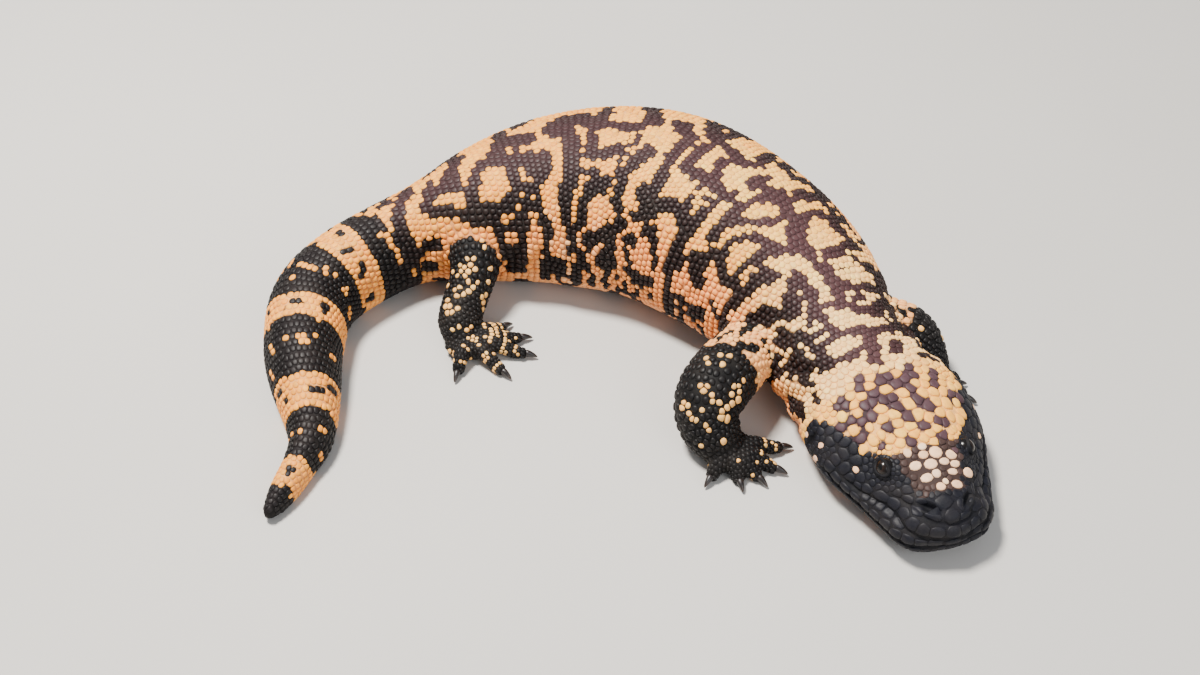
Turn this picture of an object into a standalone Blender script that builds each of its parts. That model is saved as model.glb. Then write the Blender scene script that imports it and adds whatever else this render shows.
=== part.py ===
"""A Gila monster, life size, as a still museum model in the middle of a slow step.

The animal lies in a C, with its right side on the inside of the bend. Its belly, tail and feet
rest on the floor. X runs along the chord of the bend, -Y is the open side of the C, Z is up,
and the origin is on the floor under the middle of the animal's box.

All dimensions below are in millimetres.
"""

import math

import bmesh
import bpy
import numpy as np
from mathutils import Matrix, Vector

MM = 0.001
GAP = 0.3  # left between pieces that meet

# The body's axis in plan, from the tip of the snout to the tip of the tail.
SPINE = {
    "snout": (110.6, -109.7),
    "eyes": (103.6, -84.7),
    "back of head": (93.1, -53.7),
    "nape": (82.6, -32.2),
    "shoulders": (71.5, -6.8),
    "front ribs": (50.6, 21.6),
    "mid back": (16.8, 47.3),
    "loins": (-22.7, 53.5),
    "hips": (-60.6, 44.8),
    "tail root": (-89.4, 33.8),
    "tail bend": (-114.8, 8.4),
    "tail middle": (-118.0, -20.2),
    "tail end": (-110.7, -56.2),
    "tail narrow": (-113.3, -72.2),
    "tail tip": (-121.4, -92.7),
}

# Distance along the axis, half width, height of the back, and height of the underside.
# An underside below 0 is pressed flat where it meets the floor.
BODY = {
    "snout": (0.0, 3.0, 15.0, 9.0),
    "lips": (2.2, 12.0, 19.0, 5.0),
    "nostrils": (6.5, 17.5, 22.5, 3.2),
    "muzzle": (14.0, 20.8, 25.2, 2.4),
    "eyes": (26.0, 25.2, 29.0, 1.9),
    "cheeks": (36.0, 29.5, 31.3, 1.7),
    "jaw hinge": (46.0, 31.6, 33.0, 1.6),
    "back of head": (58.0, 31.5, 34.5, 1.6),
    "throat": (74.0, 28.4, 35.5, 1.6),
    "nape": (90.0, 27.5, 38.5, 1.1),
    "shoulders": (115.0, 34.7, 46.5, -0.5),
    "front ribs": (146.0, 39.9, 55.0, -1.3),
    "mid back": (186.0, 43.1, 60.0, -1.3),
    "loins": (223.0, 40.1, 56.5, -1.3),
    "groin": (250.0, 33.2, 50.5, -0.9),
    "hips": (268.0, 26.7, 46.0, -0.4),
    "tail root": (292.0, 17.5, 36.5, -0.6),
    "tail thick": (321.0, 16.5, 33.5, -0.6),
    "tail bend": (352.0, 15.5, 30.5, -0.6),
    "tail middle": (381.0, 13.0, 25.5, -0.6),
    "tail end": (398.0, 9.7, 19.5, -0.6),
    "tail narrow": (414.0, 6.5, 13.5, -0.6),
    "tail blunt": (433.0, 4.2, 9.5, -0.4),
    "tail tip": (440.0, 2.0, 6.5, 1.5),
}

# Body pieces between cuts across the axis: name, first and last distance, rings, points.
BODY_PIECES = (
    ("neck", 70.0, 102.0, 7, 24),
    ("trunk_front", 102.0, 157.0, 11, 24),
    ("trunk_middle", 157.0, 217.0, 11, 24),
    ("trunk_rear", 217.0, 279.0, 12, 24),
    ("tail_root", 279.0, 338.0, 11, 18),
    ("tail_middle", 338.0, 393.0, 11, 18),
    ("tail_end", 393.0, 440.0, 11, 18),
)
HEAD_END = 70.0
HEAD_RINGS, HEAD_POINTS = 23, 24
HEAD_CROWDING = 1.35  # how strongly its rings crowd towards the snout
# The body's hull, which cuts the limbs: first and last distance, rings, points.
ENVELOPE = (40.0, 380.0, 60, 24)

WIDEST_AT = 0.42  # of a section's height, where it is widest
BACK_POWER = 2.1  # superellipse powers of the upper and lower halves of a section
BELLY_POWER = 2.8

# How much narrower a section is at its top than at its widest, by distance from the snout.
CROWN_TAPER = ((0.0, 0.25), (14.0, 0.36), (27.0, 0.40), (46.0, 0.22), (75.0, 0.05), (110.0, 0.0))

# Swellings and hollows of the head, the same on both sides: distance from the snout, angle
# from the top in degrees, their spreads, and height above the plain section.
HEAD_RELIEF = {
    "brow": (25.5, 44.0, 7.0, 15.0, 1.8),
    "jaw muscle": (50.5, 66.0, 9.6, 26.0, 1.3),
    "nostril mound": (6.4, 55.0, 4.3, 20.0, 0.6),
    "hollow before eye": (15.5, 70.0, 5.4, 13.0, -0.9),
    "groove of crown": (43.0, 0.0, 15.0, 13.0, -0.7),
    "dip of nape": (66.5, 0.0, 6.4, 40.0, -0.9),
}
RELIEF_END = 80.0

# The mouth line in side view: distance from the snout and height. The jaw lies below it.
MOUTH_LINE = ((-6.4, 10.2), (6.4, 9.6), (19.5, 9.6), (32.0, 11.2), (41.5, 13.8))
JAW_BACK = (45.0, 0.0)
JAW_BLOCK = (40.0, 5.0)  # half width and depth below the floor of the block that parts the jaw

EYE_DIAMETER = 7.1
EYE_AT = (27.5, 14.6, 23.4)  # from the snout, to the side, and above the floor

# Joints of each limb: x, y, z and radius at each, from inside the body to above the sole.
LIMBS = {
    "arm_right": (
        (55.1, -18.2, 16.0, 11.0),
        (47.1, -28.7, 18.5, 12.0),
        (40.1, -38.7, 20.5, 12.8),
        (34.1, -47.7, 20.5, 13.0),
        (30.6, -53.7, 15.5, 12.3),
        (32.1, -58.2, 11.0, 11.2),
        (35.6, -61.2, 7.5, 9.8),
        (39.1, -64.2, 4.5, 7.0),
    ),
    "arm_left": (
        (81.1, -8.2, 14.5, 11.5),
        (95.1, -11.2, 15.5, 12.0),
        (107.1, -14.2, 16.0, 11.2),
        (112.1, -17.2, 12.5, 10.3),
        (114.6, -21.7, 9.5, 9.3),
        (115.6, -26.2, 7.2, 8.4),
        (116.9, -31.2, 5.0, 6.0),
    ),
    "leg_right": (
        (-58.4, 39.8, 21.0, 12.0),
        (-56.4, 28.8, 22.0, 11.2),
        (-55.2, 20.3, 21.0, 10.6),
        (-56.4, 13.3, 16.5, 9.1),
        (-59.4, 6.3, 11.5, 8.7),
        (-61.4, -1.2, 7.5, 8.7),
        (-60.4, -8.2, 4.5, 6.0),
    ),
    "leg_left": (
        (-60.9, 47.8, 20.0, 14.0),
        (-64.9, 63.8, 19.5, 12.0),
        (-67.9, 71.8, 15.5, 10.0),
        (-67.9, 77.8, 11.0, 9.0),
        (-65.9, 83.8, 8.0, 8.4),
        (-63.4, 87.3, 6.0, 7.8),
        (-60.9, 90.8, 4.5, 6.0),
    ),
}
# Where a limb is parted, counted along its joints: at the elbow or knee and above the foot.
PARTINGS = {
    "arm_right": (3.1, 5.2),
    "arm_left": (2.3, 4.2),
    "leg_right": (2.3, 4.3),
    "leg_left": (2.3, 4.3),
}
LIMB_SIDES = 12
LIMB_RINGS = (6, 6, 3)  # of the upper, lower and foot lengths
BEND_SPREAD = 6.0  # reach over which a limb's bends are eased

# Soles: centre, half length, half width and height. Each is an oval ball, sunk in the floor.
SOLES = {
    "arm_right": (39.1, -63.2, 11.5, 11.5, 9.0),
    "arm_left": (118.1, -31.2, 9.5, 9.0, 8.5),
    "leg_right": (-57.9, -9.2, 10.5, 9.5, 8.5),
    "leg_left": (-58.9, 90.8, 10.5, 9.5, 8.5),
}

SOLE_MIDDLE, SOLE_SPREAD = 0.42, 0.55  # of its height: its middle above the floor, its half depth

# Toes, innermost first: plan direction in degrees and reach from the sole's centre.
TOES = {
    "arm_right": ((9.0, 20.0), (-23.0, 18.5), (-48.0, 15.5), (-76.0, 13.5), (-122.0, 13.5)),
    "arm_left": ((-82.0, 11.0), (-62.0, 13.5), (-43.0, 14.0), (-24.0, 12.5), (14.0, 9.5)),
    "leg_right": ((38.5, 17.5), (13.0, 21.5), (-10.0, 23.5), (-43.0, 20.0), (-102.0, 14.5)),
    "leg_left": ((2.0, 17.0), (24.0, 20.5), (44.0, 21.0), (66.0, 17.0), (165.0, 13.0)),
}
TOE_SIDES, TOE_RINGS = 7, 6
TOE_START = 5.4  # from the sole's centre
TOE_RADII = (3.53, 3.21, 2.89, 2.73, 2.14)  # from the sole to the claw
TOE_HEIGHTS = (5.56, 5.78, 4.17, 2.57, 2.35)
CLAW_LENGTH, CLAW_DROP, CLAW_LIFT = 4.4, 1.2, 0.1
CLAW_RADII = (1.5, 1.2, 0.85, 0.35)
CLAW_NARROWING = 0.8  # its width over its depth
CLAW_SIDES = 6
FLOOR_DEPTH = 12.0  # of the block that cuts the soles flat

SKIN_LOOKS = {
    "head": (0.30, 0.20, 0.12),
    "jaw": (0.03, 0.03, 0.04),
    "body": (0.52, 0.30, 0.12),
    "limb": (0.04, 0.035, 0.04),
    "claw": (0.05, 0.04, 0.035),
    "eye": (0.01, 0.01, 0.012),
}


def through(keys, values, at):
    """Smooth values at places between the keys, with no overshoot between two equal ones."""
    keys, values, at = (np.asarray(x, float) for x in (keys, values, at))
    steps, rises = np.diff(keys), np.diff(values)
    slopes = rises / steps
    inner = np.zeros(len(keys))
    same_way = slopes[:-1] * slopes[1:] > 0
    mean = (slopes[:-1] * steps[1:] + slopes[1:] * steps[:-1]) / (steps[:-1] + steps[1:])
    limit = 2.5 * np.minimum(abs(slopes[:-1]), abs(slopes[1:]))
    inner[1:-1] = np.where(same_way, np.sign(mean) * np.minimum(abs(mean), limit), 0.0)
    inner[0], inner[-1] = slopes[0], slopes[-1]
    i = np.clip(np.searchsorted(keys, at, side="right") - 1, 0, len(steps) - 1)
    h = steps[i]
    t = np.clip((at - keys[i]) / h, 0.0, 1.0)
    return (
        values[i] * (1 + 2 * t) * (1 - t) ** 2
        + inner[i] * h * t * (1 - t) ** 2
        + values[i + 1] * t * t * (3 - 2 * t)
        - inner[i + 1] * h * t * t * (1 - t)
    )


def bent_path(points, fine=400):
    """Points close together along a smooth bend through the given ones, and their distances."""
    points = np.asarray(points, float)
    ends = np.vstack([2 * points[0] - points[1], points, 2 * points[-1] - points[-2]])
    share = np.linspace(0, len(points) - 1, fine)
    i = np.minimum(share.astype(int), len(points) - 2)
    t = (share - i)[:, None]
    a, b, c, d = ends[i], ends[i + 1], ends[i + 2], ends[i + 3]
    path = 0.5 * (
        2 * b + (c - a) * t + (2 * a - 5 * b + 4 * c - d) * t**2 + (3 * b - a - 3 * c + d) * t**3
    )
    run = np.linalg.norm(np.diff(path, axis=0), axis=1)
    return path, np.concatenate([[0.0], np.cumsum(run)])


def softened(path, reach):
    """The same path with its bends spread over more of its length, and its distances."""
    run = np.concatenate([[0.0], np.cumsum(np.linalg.norm(np.diff(path, axis=0), axis=1))])
    near = np.minimum(reach, np.minimum(run, run[-1] - run))[:, None]
    around = run[:, None] + near * np.linspace(-1, 1, 21)
    soft = np.stack([np.interp(around, run, path[:, k]).mean(axis=1) for k in range(3)], -1)
    return soft, np.concatenate([[0.0], np.cumsum(np.linalg.norm(np.diff(soft, axis=0), axis=1))])


SPINE_PATH, SPINE_RUN = bent_path(list(SPINE.values()))
BODY_LENGTH = BODY["tail tip"][0]


def spine_frame(distance):
    """The axis's plan point and forward direction, towards the snout, this far from it."""
    run = SPINE_RUN * BODY_LENGTH / SPINE_RUN[-1]
    step = 1.0

    def point(at):
        return np.stack([np.interp(at, run, SPINE_PATH[:, k]) for k in (0, 1)], -1)

    low = np.clip(distance - step, 0, BODY_LENGTH)
    high = np.clip(distance + step, 0, BODY_LENGTH)
    ahead = point(low) - point(high)
    return point(distance), ahead / np.linalg.norm(ahead, axis=-1, keepdims=True)


def body_size(distance):
    """Half width, back and underside at a distance from the snout."""
    rows = np.array(list(BODY.values()))
    return [through(rows[:, 0], rows[:, k], distance) for k in (1, 2, 3)]


def head_relief(distance, angle):
    """How far the head stands out of its plain section, at an angle from the top in degrees."""
    away = abs((angle + 180.0) % 360.0 - 180.0)
    total = 0.0
    for place, around, along_spread, around_spread, height in HEAD_RELIEF.values():
        along = (distance - place) / along_spread
        across = (away - around) / around_spread
        total += height * math.exp(-along * along - across * across)
    return total


def body_ring(distance, points, grow=0.0):
    """One section of the body: points round it from the middle of the back, in world millimetres."""
    half, back, belly = (float(x) + g for x, g in zip(body_size(distance), (grow, grow, -grow)))
    plan, ahead = spine_frame(distance)
    right = np.array([ahead[1], -ahead[0]])
    middle = belly + WIDEST_AT * (back - belly)
    taper = np.interp(distance, *zip(*CROWN_TAPER))
    ring = []
    for k in range(points):
        angle = 2 * math.pi * k / points
        across, up = math.sin(angle), math.cos(angle)
        power = BACK_POWER if up > 0 else BELLY_POWER
        side = math.copysign(abs(across) ** (2 / power), across) * half
        rise = math.copysign(abs(up) ** (2 / power), up)
        side *= 1 - taper * max(rise, 0.0)
        rise *= (back - middle) if up > 0 else (middle - belly)
        out = head_relief(distance, math.degrees(angle)) if distance < RELIEF_END else 0.0
        reach = math.hypot(side, rise) or 1.0
        side, rise = side * (1 + out / reach), rise * (1 + out / reach)
        place = plan + right * side
        ring.append((place[0], place[1], max(middle + rise, -grow)))
    return ring


def tube_rings(path, run, places, radii, sides, nudges=None):
    """Round sections along a bent path, turned as little as possible from one to the next.

    Nudges move a section along the path's direction there, to leave a gap with even walls."""
    rings, across = [], None
    nudges = [0.0] * len(places) if nudges is None else nudges
    for place, radius, nudge in zip(places, radii, nudges):
        point = np.array([np.interp(place, run, path[:, k]) for k in range(3)])
        ends = [
            np.array([np.interp(place + step, run, path[:, k]) for k in range(3)])
            for step in (-0.5, 0.5)
        ]
        along = Vector(ends[1] - ends[0]).normalized()
        if across is None:
            across = along.cross(Vector((0, 0, 1))).normalized()
        across = (across - along * across.dot(along)).normalized()
        other = along.cross(across)
        centre = Vector(point) + along * nudge
        ring = []
        for k in range(sides):
            angle = 2 * math.pi * k / sides
            spot = centre + (across * math.cos(angle) + other * math.sin(angle)) * radius
            ring.append(tuple(spot))
        rings.append(ring)
    return rings


def material(look):
    """The plain finish of one kind of piece."""
    found = bpy.data.materials.get(look)
    if found:
        return found
    made = bpy.data.materials.new(look)
    made.use_nodes = True
    shader = made.node_tree.nodes["Principled BSDF"]
    shader.inputs["Base Color"].default_value = (*SKIN_LOOKS[look], 1.0)
    shader.inputs["Roughness"].default_value = 0.15 if look == "eye" else 0.55
    shader.inputs["Metallic"].default_value = 0.0
    return made


def add_object(name, mesh, look, collection):
    """Puts a mesh in the scene as one named piece."""
    obj = bpy.data.objects.new(name, mesh)
    collection.objects.link(obj)
    if look:
        mesh.materials.append(material(look))
    mesh.shade_smooth()
    return obj


def loft(name, rings, look, collection):
    """A closed solid through rings of equally many points, with a flat cap at each end."""
    shape = bmesh.new()
    rows = [[shape.verts.new(Vector(p) * MM) for p in ring] for ring in rings]
    for row, after in zip(rows, rows[1:]):
        for k in range(len(row)):
            n = (k + 1) % len(row)
            shape.faces.new((row[k], row[n], after[n], after[k]))
    shape.faces.new(rows[0][::-1])
    shape.faces.new(rows[-1])
    bmesh.ops.recalc_face_normals(shape, faces=shape.faces)
    mesh = bpy.data.meshes.new(name)
    shape.to_mesh(mesh)
    shape.free()
    return add_object(name, mesh, look, collection)


def combine(obj, other, operation):
    """Joins, cuts or intersects a piece with a helper, in place, and drops the modifier."""
    step = obj.modifiers.new(operation.title(), "BOOLEAN")
    step.operation = operation
    step.object = other
    graph = bpy.context.evaluated_depsgraph_get()
    made = bpy.data.meshes.new_from_object(obj.evaluated_get(graph))
    obj.modifiers.remove(step)
    obj.data = made
    return obj


def body_piece(name, first, last, count, points, collection, grow=0.0):
    """One length of the body between two cuts across its axis."""
    start = first + (GAP / 2 if first > 0 else 0.0)
    end = last - (GAP / 2 if last < BODY_LENGTH else 0.0)
    rings = [body_ring(d, points, grow) for d in np.linspace(start, end, count)]
    return loft(name, rings, "body", collection)


def head_stations():
    """Distances of the head's rings, closer together towards the blunt snout."""
    share = np.linspace(0.0, 1.0, HEAD_RINGS)
    return (HEAD_END - GAP / 2) * share**HEAD_CROWDING


def jaw_space(name, lift, collection):
    """A wide block that fills the space below the mouth line, lifted off it by the gap."""
    plan, back_plan = spine_frame(0.0)[0], spine_frame(HEAD_END)[0]
    ahead = (plan - back_plan) / np.linalg.norm(plan - back_plan)
    side = np.array([ahead[1], -ahead[0]])
    line = [(d, z + lift) for d, z in MOUTH_LINE]
    reach, depth = JAW_BLOCK
    line += [(JAW_BACK[0] + lift, JAW_BACK[1] - depth), (MOUTH_LINE[0][0], -depth)]
    ends = []
    for across in (-reach, reach):
        ring = []
        for d, z in line:
            spot = plan - ahead * d + side * across
            ring.append((spot[0], spot[1], z))
        ends.append(ring)
    return loft(name, ends, None, collection)


def eye_centre(side):
    """Middle of an eye, with side 1 for the right and -1 for the left."""
    plan, ahead = spine_frame(EYE_AT[0])
    right = np.array([ahead[1], -ahead[0]])
    spot = plan + right * EYE_AT[1] * side
    return Vector((spot[0], spot[1], EYE_AT[2])) * MM


def ball(name, centre, diameter, look, collection, segments=12, rings=8):
    """A sphere with its place in its mesh."""
    shape = bmesh.new()
    bmesh.ops.create_uvsphere(
        shape, u_segments=segments, v_segments=rings, radius=diameter * MM / 2
    )
    bmesh.ops.translate(shape, vec=centre, verts=shape.verts)
    mesh = bpy.data.meshes.new(name)
    shape.to_mesh(mesh)
    shape.free()
    return add_object(name, mesh, look, collection)


def build_head(parts, helpers):
    """The head, parted along the mouth line, with an eye sunk in each side."""
    rings = [body_ring(d, HEAD_POINTS) for d in head_stations()]
    head = loft("head", rings, "head", parts)
    jaw = loft("lower_jaw", rings, "jaw", parts)
    combine(jaw, jaw_space("jaw_space", 0.0, helpers), "INTERSECT")
    combine(head, jaw_space("jaw_clearance", GAP, helpers), "DIFFERENCE")
    for name, side in (("right", 1), ("left", -1)):
        centre = eye_centre(side)
        ball(f"eye_{name}", centre, EYE_DIAMETER, "eye", parts)
        socket = ball(f"socket_{name}", centre, EYE_DIAMETER + 2 * GAP, None, helpers)
        combine(head, socket, "DIFFERENCE")


def sole(name, x, y, length, width, height, heading, collection):
    """The flattened ball of a hand or foot, which reaches a little below the floor."""
    shape = bmesh.new()
    bmesh.ops.create_uvsphere(shape, u_segments=12, v_segments=6, radius=1.0)
    turn = Matrix.Rotation(math.radians(heading), 4, "Z")
    place = Matrix.Translation(Vector((x, y, height * SOLE_MIDDLE)) * MM)
    size = Matrix.Diagonal((length * MM, width * MM, height * MM * SOLE_SPREAD, 1.0))
    bmesh.ops.transform(shape, matrix=place @ turn @ size, verts=shape.verts)
    mesh = bpy.data.meshes.new(name)
    shape.to_mesh(mesh)
    shape.free()
    return add_object(name, mesh, None, collection)


def toe_path(centre, direction, reach):
    """Points of one toe's middle line, from inside the sole to the root of its claw."""
    along = np.array([math.cos(math.radians(direction)), math.sin(math.radians(direction))])
    steps = np.linspace(TOE_START, reach, len(TOE_HEIGHTS))
    return [(*(np.array(centre) + along * d), z) for d, z in zip(steps, TOE_HEIGHTS)]


def toe(name, centre, direction, reach, collection):
    """One toe: a tapered tube with a flat on the floor and a flat end for its claw."""
    path, run = bent_path(toe_path(centre, direction, reach), 60)
    places = np.linspace(0, run[-1], TOE_RINGS)
    radii = np.interp(places / run[-1], np.linspace(0, 1, len(TOE_RADII)), TOE_RADII)
    return loft(name, tube_rings(path, run, places, radii, TOE_SIDES), None, collection)


def claw(name, centre, direction, reach, collection):
    """One claw: a hooked cone just ahead of its toe's flat end."""
    along = np.array([math.cos(math.radians(direction)), math.sin(math.radians(direction))])
    rings = []
    side = np.array([-along[1], along[0]])
    for k, radius in enumerate(CLAW_RADII):
        share = k / (len(CLAW_RADII) - 1)
        plan = np.array(centre) + along * (reach + GAP + CLAW_LENGTH * share)
        height = TOE_HEIGHTS[-1] + CLAW_LIFT - CLAW_DROP * share * share
        ring = []
        for n in range(CLAW_SIDES):
            angle = 2 * math.pi * n / CLAW_SIDES
            spot = plan + side * radius * CLAW_NARROWING * math.cos(angle)
            ring.append((spot[0], spot[1], height + radius * math.sin(angle)))
        rings.append(ring)
    return loft(name, rings, "claw", collection)


def floor_block(collection):
    """A wide block whose top is the floor."""
    shape = bmesh.new()
    bmesh.ops.create_cube(shape, size=1.0)
    size = Matrix.Diagonal((BODY_LENGTH * MM, BODY_LENGTH * MM, FLOOR_DEPTH * MM, 1.0))
    bmesh.ops.transform(shape, matrix=size, verts=shape.verts)
    bmesh.ops.translate(shape, vec=(0, 0, -FLOOR_DEPTH * MM / 2), verts=shape.verts)
    mesh = bpy.data.meshes.new("floor_block")
    shape.to_mesh(mesh)
    shape.free()
    return add_object("floor_block", mesh, None, collection)


def build_limb(limb, names, parts, helpers):
    """A limb from the body to its sole, parted at the knee or elbow and at the ankle or wrist."""
    joints = np.array(LIMBS[limb])
    path, run = softened(bent_path(joints[:, :3], 300)[0], BEND_SPREAD)
    joint_run = np.interp(np.linspace(0, 1, len(joints)), np.linspace(0, 1, len(path)), run)
    cuts = [np.interp(at, range(len(joints)), joint_run) for at in PARTINGS[limb]]
    upper, lower, foot = names

    def stretch(name, start, end, count):
        places = np.linspace(start, end, count)
        nudges = [0.0] * count
        nudges[0] = GAP / 2 if start > 0 else 0.0
        nudges[-1] = -GAP / 2 if end < run[-1] else 0.0
        radii = through(joint_run, joints[:, 3], places)
        rings = tube_rings(path, run, places, radii, LIMB_SIDES, nudges)
        piece = loft(name, rings, "limb", parts)
        for cutter in ("body_envelope", "floor_block"):
            combine(piece, bpy.data.objects[cutter], "DIFFERENCE")
        return piece

    stretch(upper, 0.0, cuts[0], LIMB_RINGS[0])
    stretch(lower, cuts[0], cuts[1], LIMB_RINGS[1])
    end = stretch(foot, cuts[1], run[-1], LIMB_RINGS[2])
    x, y, length, width, height = SOLES[limb]
    heading = TOES[limb][2][0]
    pieces = [sole(f"{foot}_sole", x, y, length, width, height, heading, helpers)]
    for k, (direction, reach) in enumerate(TOES[limb], 1):
        pieces.append(toe(f"{foot}_toe_{k}", (x, y), direction, reach, helpers))
        claw(f"claw_{foot}_{k}", (x, y), direction, reach, parts)
    for piece in pieces:
        combine(end, piece, "UNION")
    for cutter in ("body_envelope", "floor_block"):
        combine(end, bpy.data.objects[cutter], "DIFFERENCE")
    end.data.materials.clear()
    end.data.materials.append(material("limb"))


def hide(collection):
    """Keeps helpers out of the model."""
    collection.hide_render = True
    for obj in collection.objects:
        obj.hide_render = True
        obj.display_type = "WIRE"


def main():
    for obj in list(bpy.data.objects):
        bpy.data.objects.remove(obj, do_unlink=True)
    parts = bpy.data.collections.new("gila_monster")
    helpers = bpy.data.collections.new("helpers")
    for collection in (parts, helpers):
        bpy.context.scene.collection.children.link(collection)

    build_head(parts, helpers)
    for name, first, last, count, points in BODY_PIECES:
        body_piece(name, first, last, count, points, parts)
    first, last, count, points = ENVELOPE
    hull = [body_ring(d, points, GAP) for d in np.linspace(first, last, count)]
    loft("body_envelope", hull, None, helpers)
    floor_block(helpers)
    for side in ("right", "left"):
        arm = (f"upper_arm_{side}", f"forearm_{side}", f"hand_{side}")
        leg = (f"thigh_{side}", f"shin_{side}", f"foot_{side}")
        build_limb(f"arm_{side}", arm, parts, helpers)
        build_limb(f"leg_{side}", leg, parts, helpers)
    hide(helpers)


main()
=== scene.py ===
"""Looks of the Gila monster: one skin with folds, lids and nostrils, thousands of separate scales
set in it, finer claws and eyes, and a plain studio round it.

Lengths are in millimetres until a mesh is made. A place on the body is its distance from the
snout along the axis, and its angle from the top of the back in degrees, + on the animal's right.
"""

import math

import bmesh
import bpy
import numpy as np
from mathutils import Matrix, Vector, noise
from mathutils.bvhtree import BVHTree
from mathutils.kdtree import KDTree


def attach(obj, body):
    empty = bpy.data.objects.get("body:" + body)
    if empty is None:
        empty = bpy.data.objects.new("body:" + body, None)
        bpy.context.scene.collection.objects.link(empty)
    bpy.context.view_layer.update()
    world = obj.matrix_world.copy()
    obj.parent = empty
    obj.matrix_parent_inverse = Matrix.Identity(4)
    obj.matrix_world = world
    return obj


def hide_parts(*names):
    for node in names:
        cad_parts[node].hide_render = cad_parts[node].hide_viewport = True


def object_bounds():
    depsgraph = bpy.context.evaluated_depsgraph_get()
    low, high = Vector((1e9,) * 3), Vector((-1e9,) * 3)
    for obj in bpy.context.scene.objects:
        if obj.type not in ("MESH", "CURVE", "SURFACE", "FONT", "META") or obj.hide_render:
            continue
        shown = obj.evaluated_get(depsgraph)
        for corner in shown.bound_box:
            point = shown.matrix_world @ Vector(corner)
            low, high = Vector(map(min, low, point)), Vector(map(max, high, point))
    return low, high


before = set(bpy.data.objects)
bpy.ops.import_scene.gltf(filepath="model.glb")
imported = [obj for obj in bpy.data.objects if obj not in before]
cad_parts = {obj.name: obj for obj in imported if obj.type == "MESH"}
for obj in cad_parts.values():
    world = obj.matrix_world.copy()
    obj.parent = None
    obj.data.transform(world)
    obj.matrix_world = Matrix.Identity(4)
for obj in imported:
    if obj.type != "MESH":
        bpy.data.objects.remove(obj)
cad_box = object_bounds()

MM = 0.001
LENGTH = 440.0
VOXEL = 1.15
chance = np.random.default_rng(11)

# ---------------------------------------------------------------- shape, as in the solids

SPINE = (
    (110.6, -109.7), (103.6, -84.7), (93.1, -53.7), (82.6, -32.2), (71.5, -6.8),
    (50.6, 21.6), (16.8, 47.3), (-22.7, 53.5), (-60.6, 44.8), (-89.4, 33.8),
    (-114.8, 8.4), (-118.0, -20.2), (-110.7, -56.2), (-113.3, -72.2), (-121.4, -92.7),
)
# Distance, half width, height of the back and of the underside.
BODY = np.array((
    (0.0, 3.0, 15.0, 9.0), (2.2, 12.0, 19.0, 5.0), (6.5, 17.5, 22.5, 3.2),
    (14.0, 20.8, 25.2, 2.4), (26.0, 25.2, 29.0, 1.9), (36.0, 29.5, 31.3, 1.7),
    (46.0, 31.6, 33.0, 1.6), (58.0, 31.5, 34.5, 1.6), (74.0, 28.4, 35.5, 1.6),
    (90.0, 27.5, 38.5, 1.1), (115.0, 34.7, 46.5, -0.5), (146.0, 39.9, 55.0, -1.3),
    (186.0, 43.1, 60.0, -1.3), (223.0, 40.1, 56.5, -1.3), (250.0, 33.2, 50.5, -0.9),
    (268.0, 26.7, 46.0, -0.4), (292.0, 17.5, 36.5, -0.6), (321.0, 16.5, 33.5, -0.6),
    (352.0, 15.5, 30.5, -0.6), (381.0, 13.0, 25.5, -0.6), (398.0, 9.7, 19.5, -0.6),
    (414.0, 6.5, 13.5, -0.6), (433.0, 4.2, 9.5, -0.4), (440.0, 2.0, 6.5, 1.5),
))
WIDEST_AT, BACK_POWER, BELLY_POWER = 0.42, 2.1, 2.8
CROWN_TAPER = ((0.0, 0.25), (14.0, 0.36), (27.0, 0.40), (46.0, 0.22), (75.0, 0.05), (110.0, 0.0))
# Swellings of the head: distance, angle, their spreads, height. They end where the neck begins.
RELIEF_END = 80
RELIEF = (
    (25.5, 44.0, 7.0, 15.0, 1.8), (50.5, 66.0, 9.6, 26.0, 1.3), (6.4, 55.0, 4.3, 20.0, 0.6),
    (15.5, 70.0, 5.4, 13.0, -0.9), (43.0, 0.0, 15.0, 13.0, -0.7), (66.5, 0.0, 6.4, 40.0, -0.9),
)
MOUTH_LINE = ((-6.4, 10.2), (6.4, 9.6), (19.5, 9.6), (32.0, 11.2), (41.5, 13.8))
# Furrows over the upper lip, as the mouth line: distance behind the snout and height.
FURROWS = (
    (
        (-6.4, 13.0), (0.0, 13.2), (3.0, 14.0), (6.0, 14.7), (12.0, 15.6), (20.0, 15.8), (27.0, 15.2),
        (36.0, 16.2),
    ),
    ((-6.4, 18.0), (1.0, 18.2), (5.4, 19.4), (9.6, 20.2), (16.0, 19.9), (20.0, 19.4)),
)
LIP_LINES = (MOUTH_LINE, *FURROWS)
LIP_GAP = 0.2
EYE_AT, EYE_RADIUS = (27.5, 14.6, 23.4), 3.55
# How wide the lids are open, in degrees from the eye's middle and in millimetres.
LID_LONG, LID_HIGH = 51.0, 34.0
LID_HALF = (3.5, 2.6)
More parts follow.
